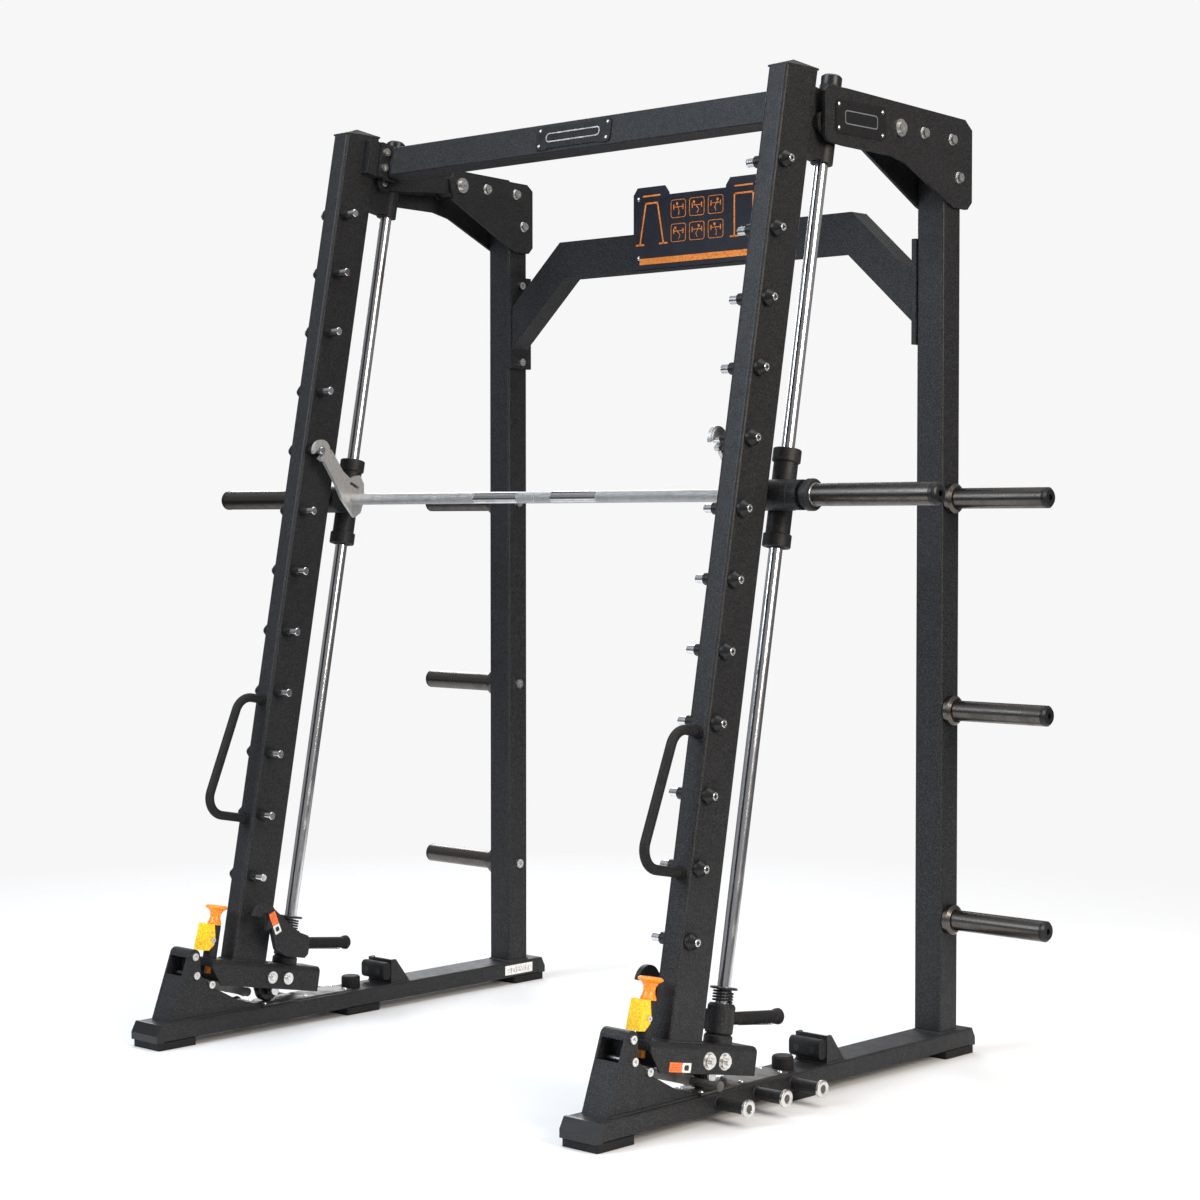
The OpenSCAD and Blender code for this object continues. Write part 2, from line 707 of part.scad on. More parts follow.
module bar_carriages() {
    half = carriage_half;
    hub_w = hub_out_x - hub_in_x;
    color("#19191c") both_sides() front_frame() difference() {
        union() {
            translate([side_x, rod_depth, bar_h - half + 2]) cylinder(h = 2 * half - 4, r = 27);
            for (h = [bar_h - half, bar_h + half - 30]) translate([side_x, rod_depth, h]) rotate_extrude()
                polygon([[0, 0], [29.5, 0], [31.5, 2], [31.5, 28], [29.5, 30], [0, 30]]);
            translate([hub_in_x, bar_depth, bar_h]) rotate([0, 90, 0]) rotate_extrude()
                polygon([[0, 0], [32, 0], [34, 2], [34, 84], [33, 85], [33, hub_w], [0, hub_w]]);
        }
        translate([0, bar_depth, bar_h]) rod_x(hub_in_x - 1, hub_out_x + 1, bar_r + run_fit);
        translate([side_x, rod_depth, bar_h - half - 1]) cylinder(h = 2 * half + 2, r = 16);
        for (h = [bar_h - half - 1, bar_h + 45]) translate([side_x, rod_depth, h])
            cylinder(h = half - 44, r = 20.4);
    }
}
module linear_bearings() {
    color("#d0d1d4") both_sides() front_frame() for (h = [bar_h - carriage_half, bar_h + 45.5])
        translate([side_x, rod_depth, h]) difference() {
            cylinder(h = carriage_half - 45.5, r = 20.4);
            translate([0, 0, -1]) cylinder(h = carriage_half, r = rod_r + run_fit);
        }
}

// ---- Safety stops ----
module stop_body() {
    at = [stop_hook_e, stop_hook_h];
    color("#18181b") front_frame() {
        difference() {
            union() {
                translate([side_x, rod_depth, stop_low]) rotate_extrude() polygon([
                    [0, 0], [26, 0], [30, 4], [30, stop_high - stop_low - 6],
                    [26, stop_high - stop_low], [0, stop_high - stop_low]
                ]);
                translate([stop_hook_x[1], rod_depth - 30, stop_low + 8])
                    cube([side_x - stop_hook_x[1], 30, 42]);
                plate_x(stop_hook_x[0], stop_hook_x[1]) difference() {
                    union() {
                        translate(at) circle(r = 34);
                        polygon([
                            [at[0] + 4, at[1] + 34], [66, 319], [123, 285], [150, 272],
                            [rod_depth - 10, 266], [rod_depth - 2, 254], [rod_depth - 2, 220],
                            [rod_depth - 12, 210], [118, stop_low + 4], [80, 226],
                            [at[0] + 27, at[1] - 30]
                        ]);
                    }
                    translate(at) circle(r = 11.5);
                    translate([at[0] - 60, at[1] - 70]) square([71.5, 70]);
                }
            }
            translate([side_x, rod_depth, stop_low - 1]) cylinder(h = 80, r = rod_r + run_fit);
            translate([side_x, rod_depth + 20, 240]) rotate([grip_rise - 90, 0, 0]) cylinder(h = 20, r = 8);
        }
    }
}
module stop_grip() {
    color("#1f1f22") front_frame() translate([side_x, rod_depth + 20, 240]) rotate([grip_rise - 90, 0, 0]) {
        cylinder(h = 24, r = 8);
        translate([0, 0, 13]) rotate_extrude() polygon([
            [8, 0], [12, 0], [12, 8], [14, 14], [14, 150], [17, 156], [18, 164], [15, 168],
            [0, 168], [0, 10], [8, 10]
        ]);
    }
}
// Round wire turns joined by short posts, with the washer they carry
module stop_spring() {
    wire = 2.4;
    pitch = 8;
    color("#2a2a2d") front_frame() translate([side_x, rod_depth, stop_high + 0.4]) {
        for (i = [0 : 3]) translate([0, 0, wire + i * pitch]) {
            rotate_extrude() translate([20, 0]) circle(r = wire);
            rotate([0, 0, i * 120]) translate([20, 0, 0]) cylinder(h = i < 3 ? pitch : 4, r = 1.8);
        }
        translate([0, 0, wire + 3 * pitch + 3]) difference() {
            cylinder(h = 5, r = 30);
            translate([0, 0, -1]) cylinder(h = 7, r = rod_r + run_fit);
        }
    }
}

mirror([1, 0, 0]) rail();  // rail_left
rail();  // rail_right
rail_end_caps();
floor_pads();
nose_boxes();
rear_uprights();
gussets_outer();
gussets_inner();
rear_cross_member();
frame_bolts();
storage_horns();
horn_end_caps();
placard();
pivot_pins();
band_pegs();
rubber_stops();
bumper_blocks();
bumper_brackets();
wear_plates();
mirror([1, 0, 0]) front_upright();  // front_upright_left
front_upright();  // front_upright_right
upright_caps();
mirror([1, 0, 0]) peg_pins();  // peg_pins_left
peg_pins();  // peg_pins_right
peg_bushings();
peg_knobs();
side_handles();
front_cross_member();
cross_brackets();
badge_plate();
rod_heads();
rod_top_caps();
rod_feet();
mirror([1, 0, 0]) guide_rod();  // guide_rod_left
guide_rod();  // guide_rod_right
carriage_boxes();
lock_tubes();
latch_plates();
front_bolts();
roller_axles();
mirror([1, 0, 0]) roller();  // roller_left
roller();  // roller_right
pivot_links();
mirror([1, 0, 0]) pedal();  // pedal_left
pedal();  // pedal_right
mirror([1, 0, 0]) pull_knob();  // pull_knob_left
pull_knob();  // pull_knob_right
bar_shaft();
bar_sleeves();
bar_collars();
bar_hooks();
bar_carriages();
linear_bearings();
mirror([1, 0, 0]) stop_body();  // stop_left
stop_body();  // stop_right
mirror([1, 0, 0]) stop_grip();  // stop_grip_left
stop_grip();  // stop_grip_right
mirror([1, 0, 0]) stop_spring();  // stop_spring_left
stop_spring();  // stop_spring_right
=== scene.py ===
"""Finishes, small fittings and a studio stage for a convertible smith machine."""
import json
from math import atan2, cos, pi, radians, sin

import bmesh
import bpy
from bpy.props import FloatProperty, FloatVectorProperty, IntProperty, PointerProperty
from mathutils import Matrix, Vector


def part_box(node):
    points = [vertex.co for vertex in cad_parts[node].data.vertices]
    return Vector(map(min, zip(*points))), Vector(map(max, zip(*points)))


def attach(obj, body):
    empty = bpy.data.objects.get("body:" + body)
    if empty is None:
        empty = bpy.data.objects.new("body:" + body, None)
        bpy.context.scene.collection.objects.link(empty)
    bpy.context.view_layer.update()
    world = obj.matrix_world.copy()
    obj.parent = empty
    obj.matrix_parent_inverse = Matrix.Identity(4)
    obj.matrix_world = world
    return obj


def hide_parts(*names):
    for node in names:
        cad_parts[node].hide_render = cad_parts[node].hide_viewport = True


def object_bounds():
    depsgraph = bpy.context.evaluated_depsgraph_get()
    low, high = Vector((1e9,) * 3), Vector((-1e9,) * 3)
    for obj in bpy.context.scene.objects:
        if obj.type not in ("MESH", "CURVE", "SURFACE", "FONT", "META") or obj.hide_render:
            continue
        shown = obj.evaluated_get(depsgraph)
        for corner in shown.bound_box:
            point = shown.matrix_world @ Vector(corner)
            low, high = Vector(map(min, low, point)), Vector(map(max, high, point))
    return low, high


bl_info = {
    "name": "Smith Machine Finish",
    "version": (1, 0, 0),
    "blender": (4, 5, 0),
    "location": "3D View > Sidebar > Smith Machine",
    "description": "Finishes, small fittings and a stage for a packed smith machine",
    "category": "Object",
}

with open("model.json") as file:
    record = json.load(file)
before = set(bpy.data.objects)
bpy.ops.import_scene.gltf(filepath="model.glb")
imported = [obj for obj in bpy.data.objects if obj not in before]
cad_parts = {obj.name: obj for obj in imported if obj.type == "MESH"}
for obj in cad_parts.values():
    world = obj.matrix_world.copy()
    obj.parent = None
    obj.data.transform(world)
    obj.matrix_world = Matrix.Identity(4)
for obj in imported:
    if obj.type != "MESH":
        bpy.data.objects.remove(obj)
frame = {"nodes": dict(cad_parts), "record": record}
CAD_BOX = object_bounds()
RECORD = frame["record"]
SIDES = {"left": Matrix.Scale(-1, 4, (1, 0, 0)), "right": Matrix.Identity(4)}
ALONG_X = Matrix.Rotation(pi / 2, 4, "Y")
TO_FRONT = Matrix.Rotation(pi / 2, 4, "X")
CORNERS = [(-1, -1), (-1, 1), (1, -1), (1, 1)]
PEGS_A_SIDE = 12
PRINT_THICKNESS = 0.0006
KNURL_FADE = 0.002
KNURL_SLANT = 0.5
KNURL_DEPTH = 0.0012


def move(x, y, z):
    return Matrix.Translation((x, y, z))


def lean_frame():
    """The frame of the leaning uprights: x, depth behind their front faces, height along them."""
    joints = RECORD["behaviour"]["joints"]
    up = next(j["axis"] for j in joints if j["name"] == "bar_travel")
    lean = atan2(up[1], up[2])
    turn = Matrix.Rotation(-lean, 4, "X")
    back = turn.inverted()
    front = min((back @ v.co).y for v in frame["nodes"]["front_upright_right"].data.vertices)
    return move(0, front / cos(lean), 0) @ turn


LEAN = lean_frame()


def points_of(name, leaning=False, right=False):
    """A frame part's points, in the frame of the leaning uprights or of the part, all or the right half."""
    place = LEAN.inverted() if leaning else Matrix.Identity(4)
    return [place @ v.co for v in frame["nodes"][name].data.vertices if v.co.x > 0 or not right]


def box_of(points):
    """The lowest and the highest corner of some points."""
    return Vector(map(min, zip(*points))), Vector(map(max, zip(*points)))


def leaning_box(name):
    """The corners of the right half of a frame part, in the frame of the leaning uprights."""
    return box_of(points_of(name, leaning=True, right=True))


def right_box(name):
    """The corners of the right half of a frame part."""
    return box_of(points_of(name, right=True))


def outline(lo, hi, z):
    """A closed rectangle at a height, from corner to corner."""
    return [(lo.x, lo.y, z), (hi.x, lo.y, z), (hi.x, hi.y, z), (lo.x, hi.y, z), (lo.x, lo.y, z)]


# ---- Node building ----

def node(tree, kind, inputs=None, **settings):
    """Adds a shader node, sets it and fills or links its inputs."""
    made = tree.nodes.new("ShaderNode" + kind)
    for key, value in settings.items():
        setattr(made, key, value)
    for key, value in (inputs or {}).items():
        if isinstance(value, bpy.types.NodeSocket):
            tree.links.new(value, made.inputs[key])
        else:
            made.inputs[key].default_value = value
    return made


def effect(name, inputs, outputs):
    """Starts a node group and gives its tree, its inputs and its outputs."""
    tree = bpy.data.node_groups.new(name, "ShaderNodeTree")
    for label, kind, default in inputs:
        made = tree.interface.new_socket(name=label, in_out="INPUT", socket_type="NodeSocket" + kind)
        made.default_value = default
    for label, kind in outputs:
        tree.interface.new_socket(name=label, in_out="OUTPUT", socket_type="NodeSocket" + kind)
    return tree, tree.nodes.new("NodeGroupInput").outputs, tree.nodes.new("NodeGroupOutput").inputs


def use(tree, name, values):
    """Places a node group in a material."""
    made = tree.nodes.new("ShaderNodeGroup")
    made.node_tree = bpy.data.node_groups[name]
    for key, value in values.items():
        if isinstance(value, bpy.types.NodeSocket):
            tree.links.new(value, made.inputs[key])
        else:
            made.inputs[key].default_value = value
    return made.outputs


def mask(tree, value, low, high, top=1.0):
    """A soft step of a value from low to high."""
    return node(tree, "MapRange", {"Value": value, "From Min": low, "From Max": high, "To Max": top}).outputs[0]


def times(tree, a, b):
    return node(tree, "Math", {0: a, 1: b}, operation="MULTIPLY").outputs[0]


def blend_colour(tree, factor, a, b):
    return node(tree, "Mix", {0: factor, 6: a, 7: b}, data_type="RGBA").outputs[2]


def noise(tree, point, scale, detail=2.0):
    return node(tree, "TexNoise", {"Vector": point, "Scale": scale, "Detail": detail}).outputs[0]


def build_effects():
    """The effects that several finishes share."""
    tree, given, out = effect("Grain and specks", [
        ("Color", "Color", (0.02, 0.02, 0.02, 1)), ("Speck Color", "Color", (0.1, 0.1, 0.1, 1)),
        ("Speck Amount", "Float", 0.5), ("Grain Scale", "Float", 700)], [("Color", "Color"), ("Height", "Float")])
    point = node(tree, "TexCoord").outputs["Object"]
    grain = noise(tree, point, given["Grain Scale"], 3.0)
    cells = node(tree, "TexVoronoi", {"Vector": point, "Scale": given["Grain Scale"]})
    broad = noise(tree, point, 5.0)
    fine = noise(tree, point, 210.0, 2.0)
    shade = times(tree, mask(tree, fine, 0.38, 0.66), mask(tree, broad, 0.1, 0.7, 0.9))
    lighter = node(tree, "HueSaturation", {"Value": 2.1, "Color": given["Color"]}).outputs[0]
    varied = blend_colour(tree, shade, given["Color"], lighter)
    speck = times(tree, mask(tree, cells.outputs["Distance"], 0.42, 0.16), given["Speck Amount"])
    tree.links.new(blend_colour(tree, speck, varied, given["Speck Color"]), out["Color"])
    tree.links.new(grain, out["Height"])

    tree, given, out = effect("Settled dust", [
        ("Color", "Color", (0.02, 0.02, 0.02, 1)), ("Dust Color", "Color", (0.3, 0.29, 0.27, 1)),
        ("Amount", "Float", 0.2), ("Clean Roughness", "Float", 0.4), ("Dusty Roughness", "Float", 0.7)],
        [("Color", "Color"), ("Roughness", "Float")])
    point = node(tree, "TexCoord").outputs["Object"]
    facing = node(tree, "SeparateXYZ", {0: node(tree, "NewGeometry").outputs["Normal"]}).outputs["Z"]
    patches = mask(tree, noise(tree, point, 14.0, 5.0), 0.35, 0.75)
    dust = times(tree, times(tree, mask(tree, facing, 0.4, 1.0), patches), given["Amount"])
    tree.links.new(blend_colour(tree, dust, given["Color"], given["Dust Color"]), out["Color"])
    smear = mask(tree, noise(tree, point, 40.0, 4.0), 0.3, 0.8)
    rough = node(tree, "Mix", {0: smear, 2: given["Clean Roughness"], 3: given["Dusty Roughness"]})
    tree.links.new(rough.outputs[0], out["Roughness"])

    tree, given, out = effect("Handling marks", [
        ("Color", "Color", (0.5, 0.5, 0.5, 1)), ("Mark Color", "Color", (0.2, 0.2, 0.2, 1)),
        ("Amount", "Float", 0.3), ("Scale", "Float", 30), ("Clean Roughness", "Float", 0.1),
        ("Marked Roughness", "Float", 0.3)], [("Color", "Color"), ("Roughness", "Float"), ("Mask", "Float")])
    point = node(tree, "TexCoord").outputs["Object"]
    marks = mask(tree, noise(tree, point, given["Scale"], 6.0), 0.45, 0.72)
    factor = times(tree, marks, given["Amount"])
    tree.links.new(blend_colour(tree, factor, given["Color"], given["Mark Color"]), out["Color"])
    rough = node(tree, "Mix", {0: marks, 2: given["Clean Roughness"], 3: given["Marked Roughness"]})
    tree.links.new(rough.outputs[0], out["Roughness"])
    tree.links.new(marks, out["Mask"])

    tree, given, out = effect("Brushed lines", [("Stretch", "Vector", (1, 1, 1)), ("Scale", "Float", 300)],
                              [("Height", "Float")])
    point = node(tree, "TexCoord").outputs["Object"]
    drawn = node(tree, "VectorMath", {0: point, 1: given["Stretch"]}, operation="MULTIPLY").outputs[0]
    tree.links.new(noise(tree, drawn, given["Scale"], 2.0), out["Height"])


def material(name, build, **sockets):
    """Makes a material; build gives what feeds its colour, roughness and bump height."""
    made = bpy.data.materials.new(name)
    made.use_nodes = True
    tree = made.node_tree
    shader = tree.nodes["Principled BSDF"]
    for key, value in sockets.items():
        shader.inputs[key.replace("_", " ")].default_value = value
    color, roughness, height, depth = build(tree)
    tree.links.new(color, shader.inputs["Base Color"])
    if roughness is not None:
        tree.links.new(roughness, shader.inputs["Roughness"])
    bump = node(tree, "Bump", {"Height": height, "Distance": depth, "Strength": 0.7})
    tree.links.new(bump.outputs[0], shader.inputs["Normal"])
    return made


def coated(color, speck, amount, scale, dust, rough, depth):
    """A coating with grain, specks and settled dust."""
    def build(tree):
        grain = use(tree, "Grain and specks", {
            "Color": (*color, 1), "Speck Color": (*speck, 1), "Speck Amount": amount, "Grain Scale": scale})
        dusty = use(tree, "Settled dust", {
            "Color": grain["Color"], "Amount": dust, "Clean Roughness": rough[0], "Dusty Roughness": rough[1]})
        return dusty["Color"], dusty["Roughness"], grain["Height"], depth
    return build


def polished(color, mark, amount, marks_scale, rough, stretch, lines, depth):
    """A metal with fine drawn lines and handling marks."""
    def build(tree):
        marked = use(tree, "Handling marks", {
            "Color": (*color, 1), "Mark Color": (*mark, 1), "Amount": amount, "Scale": marks_scale,
            "Clean Roughness": rough[0], "Marked Roughness": rough[1]})
        brushed = use(tree, "Brushed lines", {"Stretch": stretch, "Scale": lines})
        return marked["Color"], marked["Roughness"], brushed["Height"], depth
    return build


def knurled(zones, color, mark, rough):
    """Chrome with diamond knurling in bands along X, its grooves darkened with painted shade."""
    def build(tree):
        marked = use(tree, "Handling marks", {
            "Color": (*color, 1), "Mark Color": (*mark, 1), "Amount": 0.35, "Scale": 60.0,
            "Clean Roughness": rough[0], "Marked Roughness": rough[1]})
        point = node(tree, "TexCoord").outputs["Object"]
        along = node(tree, "SeparateXYZ", {0: point}).outputs["X"]
        reach = node(tree, "Math", {0: along}, operation="ABSOLUTE").outputs[0]
        inside = None
        for low, high in zones:
            band = times(tree, mask(tree, reach, low, low + KNURL_FADE), mask(tree, reach, high + KNURL_FADE, high))
            if inside is None:
                inside = band
            else:
                inside = node(tree, "Math", {0: inside, 1: band}, operation="MAXIMUM").outputs[0]
        cuts = []
        for turn in (KNURL_SLANT, -KNURL_SLANT):
            slanted = node(tree, "VectorRotate", {"Vector": point, "Angle": turn, "Axis": (0, 1, 0)},
                           rotation_type="AXIS_ANGLE").outputs[0]
            wave = node(tree, "TexWave", {"Vector": slanted, "Scale": 130.0}, wave_type="BANDS", bands_direction="X")
            cuts.append(wave.outputs["Fac"])
        diamonds = times(tree, *cuts)
        height = times(tree, diamonds, inside)
        # Painted shade: the knurl's grooves are darkened towards the mark colour, which also colours the real
        # handling marks
        shade = times(tree, mask(tree, diamonds, 0.5, 0.05), inside)
        color_out = blend_colour(tree, times(tree, shade, 0.6), marked["Color"], (*mark, 1))
        rough_out = node(tree, "Mix", {0: inside, 2: marked["Roughness"], 3: 0.34}).outputs[0]
        return color_out, rough_out, height, KNURL_DEPTH
    return build


def build_materials(colors):
    """Every finish, by the name of its slot or its use."""
    powder, knob, latch = tuple(colors.powder), tuple(colors.knob), tuple(colors.latch)
    metal, half_metal = {"Metallic": 1.0}, {"Metallic": 0.7}
    # Each row: colour, speck colour, speck amount, grain scale, dust, clean and dusty roughness,
    # grain depth, sockets of the shader
    coatings = {
        "frame_black": (powder, (0.13, 0.13, 0.135), 0.5, 430.0, 0.05, (0.42, 0.58),
                        0.0006, {"Specular_IOR_Level": 0.32}),
        "rubber": ((0.007, 0.007, 0.0075), (0.03, 0.03, 0.03), 0.25, 380.0, 0.06, (0.60, 0.82),
                   0.0006, {"Specular_IOR_Level": 0.3}),
        "black_plastic": ((0.008, 0.008, 0.0085), (0.03, 0.03, 0.03), 0.2, 900.0, 0.04, (0.28, 0.42),
                          0.00015, {"Specular_IOR_Level": 0.4}),
        "placard": ((0.010, 0.011, 0.019), (0.03, 0.032, 0.045), 0.3, 900.0, 0.03, (0.30, 0.42), 0.0001, {}),
        "orange": (knob, (1.0, 0.5, 0.2), 0.1, 600.0, 0.08, (0.24, 0.4), 0.00012, {}),
        "yellow": (latch, (1.0, 0.8, 0.3), 0.15, 500.0, 0.10, (0.28, 0.45), 0.0002, {}),
        "spring_black": ((0.016, 0.016, 0.018), (0.06, 0.06, 0.06), 0.2, 700.0, 0.05, (0.22, 0.38),
                         0.0001, {"Metallic": 0.3}),
        "weld_black": (powder, (0.10, 0.10, 0.11), 0.3, 900.0, 0.06, (0.30, 0.45), 0.0002, {}),
        "print_orange": ((0.72, 0.22, 0.03), (0.5, 0.14, 0.02), 0.3, 1200.0, 0.04, (0.4, 0.55), 0.00005, {}),
        "label_orange": ((0.86, 0.16, 0.03), (0.7, 0.1, 0.02), 0.2, 1200.0, 0.05, (0.3, 0.45), 0.00005, {}),
        "label_white": ((0.72, 0.72, 0.70), (0.5, 0.5, 0.5), 0.2, 1200.0, 0.05, (0.35, 0.5), 0.00005, {}),
        "label_ink": ((0.012, 0.012, 0.012), (0.03, 0.03, 0.03), 0.2, 1200.0, 0.02, (0.4, 0.5), 0.00005, {}),
        # Painted shade: near black for flat discs that stand in for the shaded insides of sockets and holes
        "socket_dark": ((0.006, 0.006, 0.007), (0.02, 0.02, 0.02), 0.2, 900.0, 0.02, (0.5, 0.65), 0.0001, {}),
    }
    # Each row: colour, mark colour, mark amount, mark scale, clean and marked roughness, stretch and
    # scale of the drawn lines, their depth, sockets of the shader
    metals = {
        "zinc": ((0.80, 0.79, 0.77), (0.45, 0.44, 0.42), 0.4, 45.0, (0.26, 0.42), (1, 6, 1), 260.0, 0.00008, metal),
        "chrome": ((0.74, 0.745, 0.76), (0.5, 0.5, 0.51), 0.35, 22.0, (0.16, 0.28), (30, 30, 1), 60.0,
                   0.00002, metal),
        "silver_paint": ((0.70, 0.69, 0.67), (0.36, 0.355, 0.35), 0.5, 120.0, (0.30, 0.46), (1, 1, 1), 350.0,
                         0.0004, half_metal),
        "gunmetal": ((0.125, 0.114, 0.104), (0.06, 0.056, 0.052), 0.5, 30.0, (0.26, 0.38), (1, 14, 14), 40.0,
                     0.00006, metal),
        "wear_grey": ((0.16, 0.155, 0.148), (0.05, 0.048, 0.045), 0.8, 25.0, (0.42, 0.65), (1, 0.12, 1), 500.0,
                      0.0002, half_metal),
    }
    made = {name: material(name, coated(*row), **sockets) for name, (*row, sockets) in coatings.items()}
    for name, (*row, sockets) in metals.items():
        made[name] = material(name, polished(*row), **sockets)
    grip_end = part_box("bar_hooks")[1].x - 0.012
    made["knurled_chrome"] = material("knurled_chrome", knurled(
        [(0.0, 0.055), (0.20, grip_end)], (0.68, 0.68, 0.68), (0.24, 0.235, 0.23), (0.16, 0.28)), **metal)
    return made


MATERIALS = {}


# ---- Shape building ----

def add(bm, part, place):
    """Puts a finished part into a piece, closed and with its faces outwards."""
    bmesh.ops.remove_doubles(part, verts=part.verts, dist=1e-6)
    bmesh.ops.transform(part, matrix=place, verts=part.verts)
    bmesh.ops.recalc_face_normals(part, faces=part.faces)
    mesh = bpy.data.meshes.new("part")
    part.to_mesh(mesh)
    part.free()
    bm.from_mesh(mesh)
    bpy.data.meshes.remove(mesh)


def keep_piece(name, bm, finish, body, smooth=35):
    """Makes the piece's object, at the origin, riding on its body."""
    mesh = bpy.data.meshes.new(name)
    bm.to_mesh(mesh)
    bm.free()
    mesh.materials.append(MATERIALS[finish])
    mesh.shade_smooth()
    mesh.set_sharp_from_angle(angle=radians(smooth))
    piece = bpy.data.objects.new(name, mesh)
    bpy.context.scene.collection.objects.link(piece)
    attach(piece, body)
    return piece


def turned(profile, steps=32, closed=False):
    """Turns (radius, height) points about Z. A closed profile is a ring's section."""
    part = bmesh.new()
    verts = [part.verts.new((r, 0, h)) for r, h in profile]
    edges = [part.edges.new(pair) for pair in zip(verts, verts[1:])]
    if closed:
        edges.append(part.edges.new((verts[-1], verts[0])))
    bmesh.ops.spin(part, geom=verts + edges, cent=(0, 0, 0), axis=(0, 0, 1), angle=2 * pi, steps=steps,
                   use_merge=True)
    return part


def block(size, bevel=0.0):
    """A block with its edges rounded."""
    part = bmesh.new()
    bmesh.ops.create_cube(part, size=1)
    bmesh.ops.scale(part, vec=size, verts=part.verts)
    if bevel:
        bmesh.ops.bevel(part, geom=part.edges[:], offset=bevel, segments=2, profile=0.5, affect="EDGES",
                        material=-1)
    return part


def plate(width, height, corner, thickness, rim=0.0):
    """A plate in XY with round corners, or a rim of one, standing up by its thickness."""
    part = bmesh.new()
    bmesh.ops.create_grid(part, x_segments=1, y_segments=1, size=0.5)
    bmesh.ops.scale(part, vec=(width, height, 1), verts=part.verts)
    bmesh.ops.bevel(part, geom=part.verts[:], offset=corner, segments=5, profile=0.5, affect="VERTICES",
                    material=-1)
    if rim:
        inner = part.faces[:]
        bmesh.ops.inset_region(part, faces=inner, thickness=rim, use_boundary=True, use_even_offset=True)
        bmesh.ops.delete(part, geom=inner, context="FACES")
    grown = bmesh.ops.extrude_face_region(part, geom=part.faces[:], use_keep_orig=True)
    top = [g for g in grown["geom"] if isinstance(g, bmesh.types.BMVert)]
    bmesh.ops.translate(part, vec=(0, 0, thickness), verts=top)
    return part


def stroke(a, b, width, thickness):
    """A flat line of a drawing between two points."""
    a, b = Vector(a), Vector(b)
    run = b - a
    part = block((run.length + width, width, thickness), width * 0.12)
    middle = (a + b) / 2
    bmesh.ops.transform(part, matrix=move(middle.x, middle.y, 0) @ Matrix.Rotation(atan2(run.y, run.x), 4, "Z"),
                        verts=part.verts)
    return part


def bead_path(bm, points, size, place):
    """Overlapping weld ripples along a line of points."""
    points = [Vector(p) for p in points]
    for a, b in zip(points, points[1:]):
        run = b - a
        count = max(1, round(run.length / (size * 0.75)))
        turn = run.to_track_quat("X", "Z").to_matrix().to_4x4()
        for i in range(count):
            ripple = bmesh.new()
            bmesh.ops.create_icosphere(ripple, subdivisions=1, radius=size)
            bmesh.ops.scale(ripple, vec=(0.7, 1.0, 0.8), verts=ripple.verts)
            bmesh.ops.smooth_vert(ripple, verts=ripple.verts, factor=0.1)
            add(bm, ripple, place @ Matrix.Translation(a + run * (i + 0.5) / count) @ turn)


def peg_heights():
    """Depth, heights and reach of the pegs on an upright."""
    lo, hi = leaning_box("peg_pins_right")
    r = (hi.y - lo.y) / 2
    step = (hi.z - lo.z - 2 * r) / (PEGS_A_SIDE - 1)
    return (lo.y + hi.y) / 2, [lo.z + r + i * step for i in range(PEGS_A_SIDE)], hi.x


# ---- Operators ----

class SMITH_OT_finishes(bpy.types.Operator):
    """Makes every finish and gives each frame part its own"""
    bl_idname = "smith.finishes"
    bl_label = "Finishes"

    def execute(self, context):
        build_effects()
        MATERIALS.update(build_materials(context.scene.smith_colors))
        slots = {row["node"]: row["material_slot"] for row in RECORD["subparts"]}
        special = {"bar_shaft": "knurled_chrome", "wear_plates": "wear_grey", "pedal_left": "wear_grey",
                   "pedal_right": "wear_grey"}
        for name, part in frame["nodes"].items():
            finish = MATERIALS[special.get(name, slots[name])]
            part.data.materials.clear()
            part.data.materials.append(finish)
        return {"FINISHED"}


class SMITH_OT_peg_rings(bpy.types.Operator):
    """Silver rings in the knobs of the pegs, and dark discs in them painted as the shade inside their sockets"""
    bl_idname = "smith.peg_rings"
    bl_label = "Peg rings"

    def execute(self, context):
        rings, sockets = bmesh.new(), bmesh.new()
        depth, heights, reach = peg_heights()
        for side in SIDES.values():
            for height in heights:
                place = side @ LEAN @ move(reach, depth, height) @ ALONG_X
                add(rings, turned([(0.0040, -0.001), (0.0042, 0.0010), (0.0050, 0.0018), (0.0074, 0.0018),
                                   (0.0084, 0.0010), (0.0086, -0.001)], 20, True), place)
                # Painted shade: a flat dark disc stands for the shaded inside of the socket
                add(sockets, turned([(0.0, 0.0002), (0.0041, 0.0006), (0.0041, -0.0008), (0.0, -0.0008)], 6),
                    place)
        keep_piece("peg_rings", rings, "zinc", "front_frame")
        keep_piece("peg_sockets", sockets, "socket_dark", "front_frame")
        return {"FINISHED"}


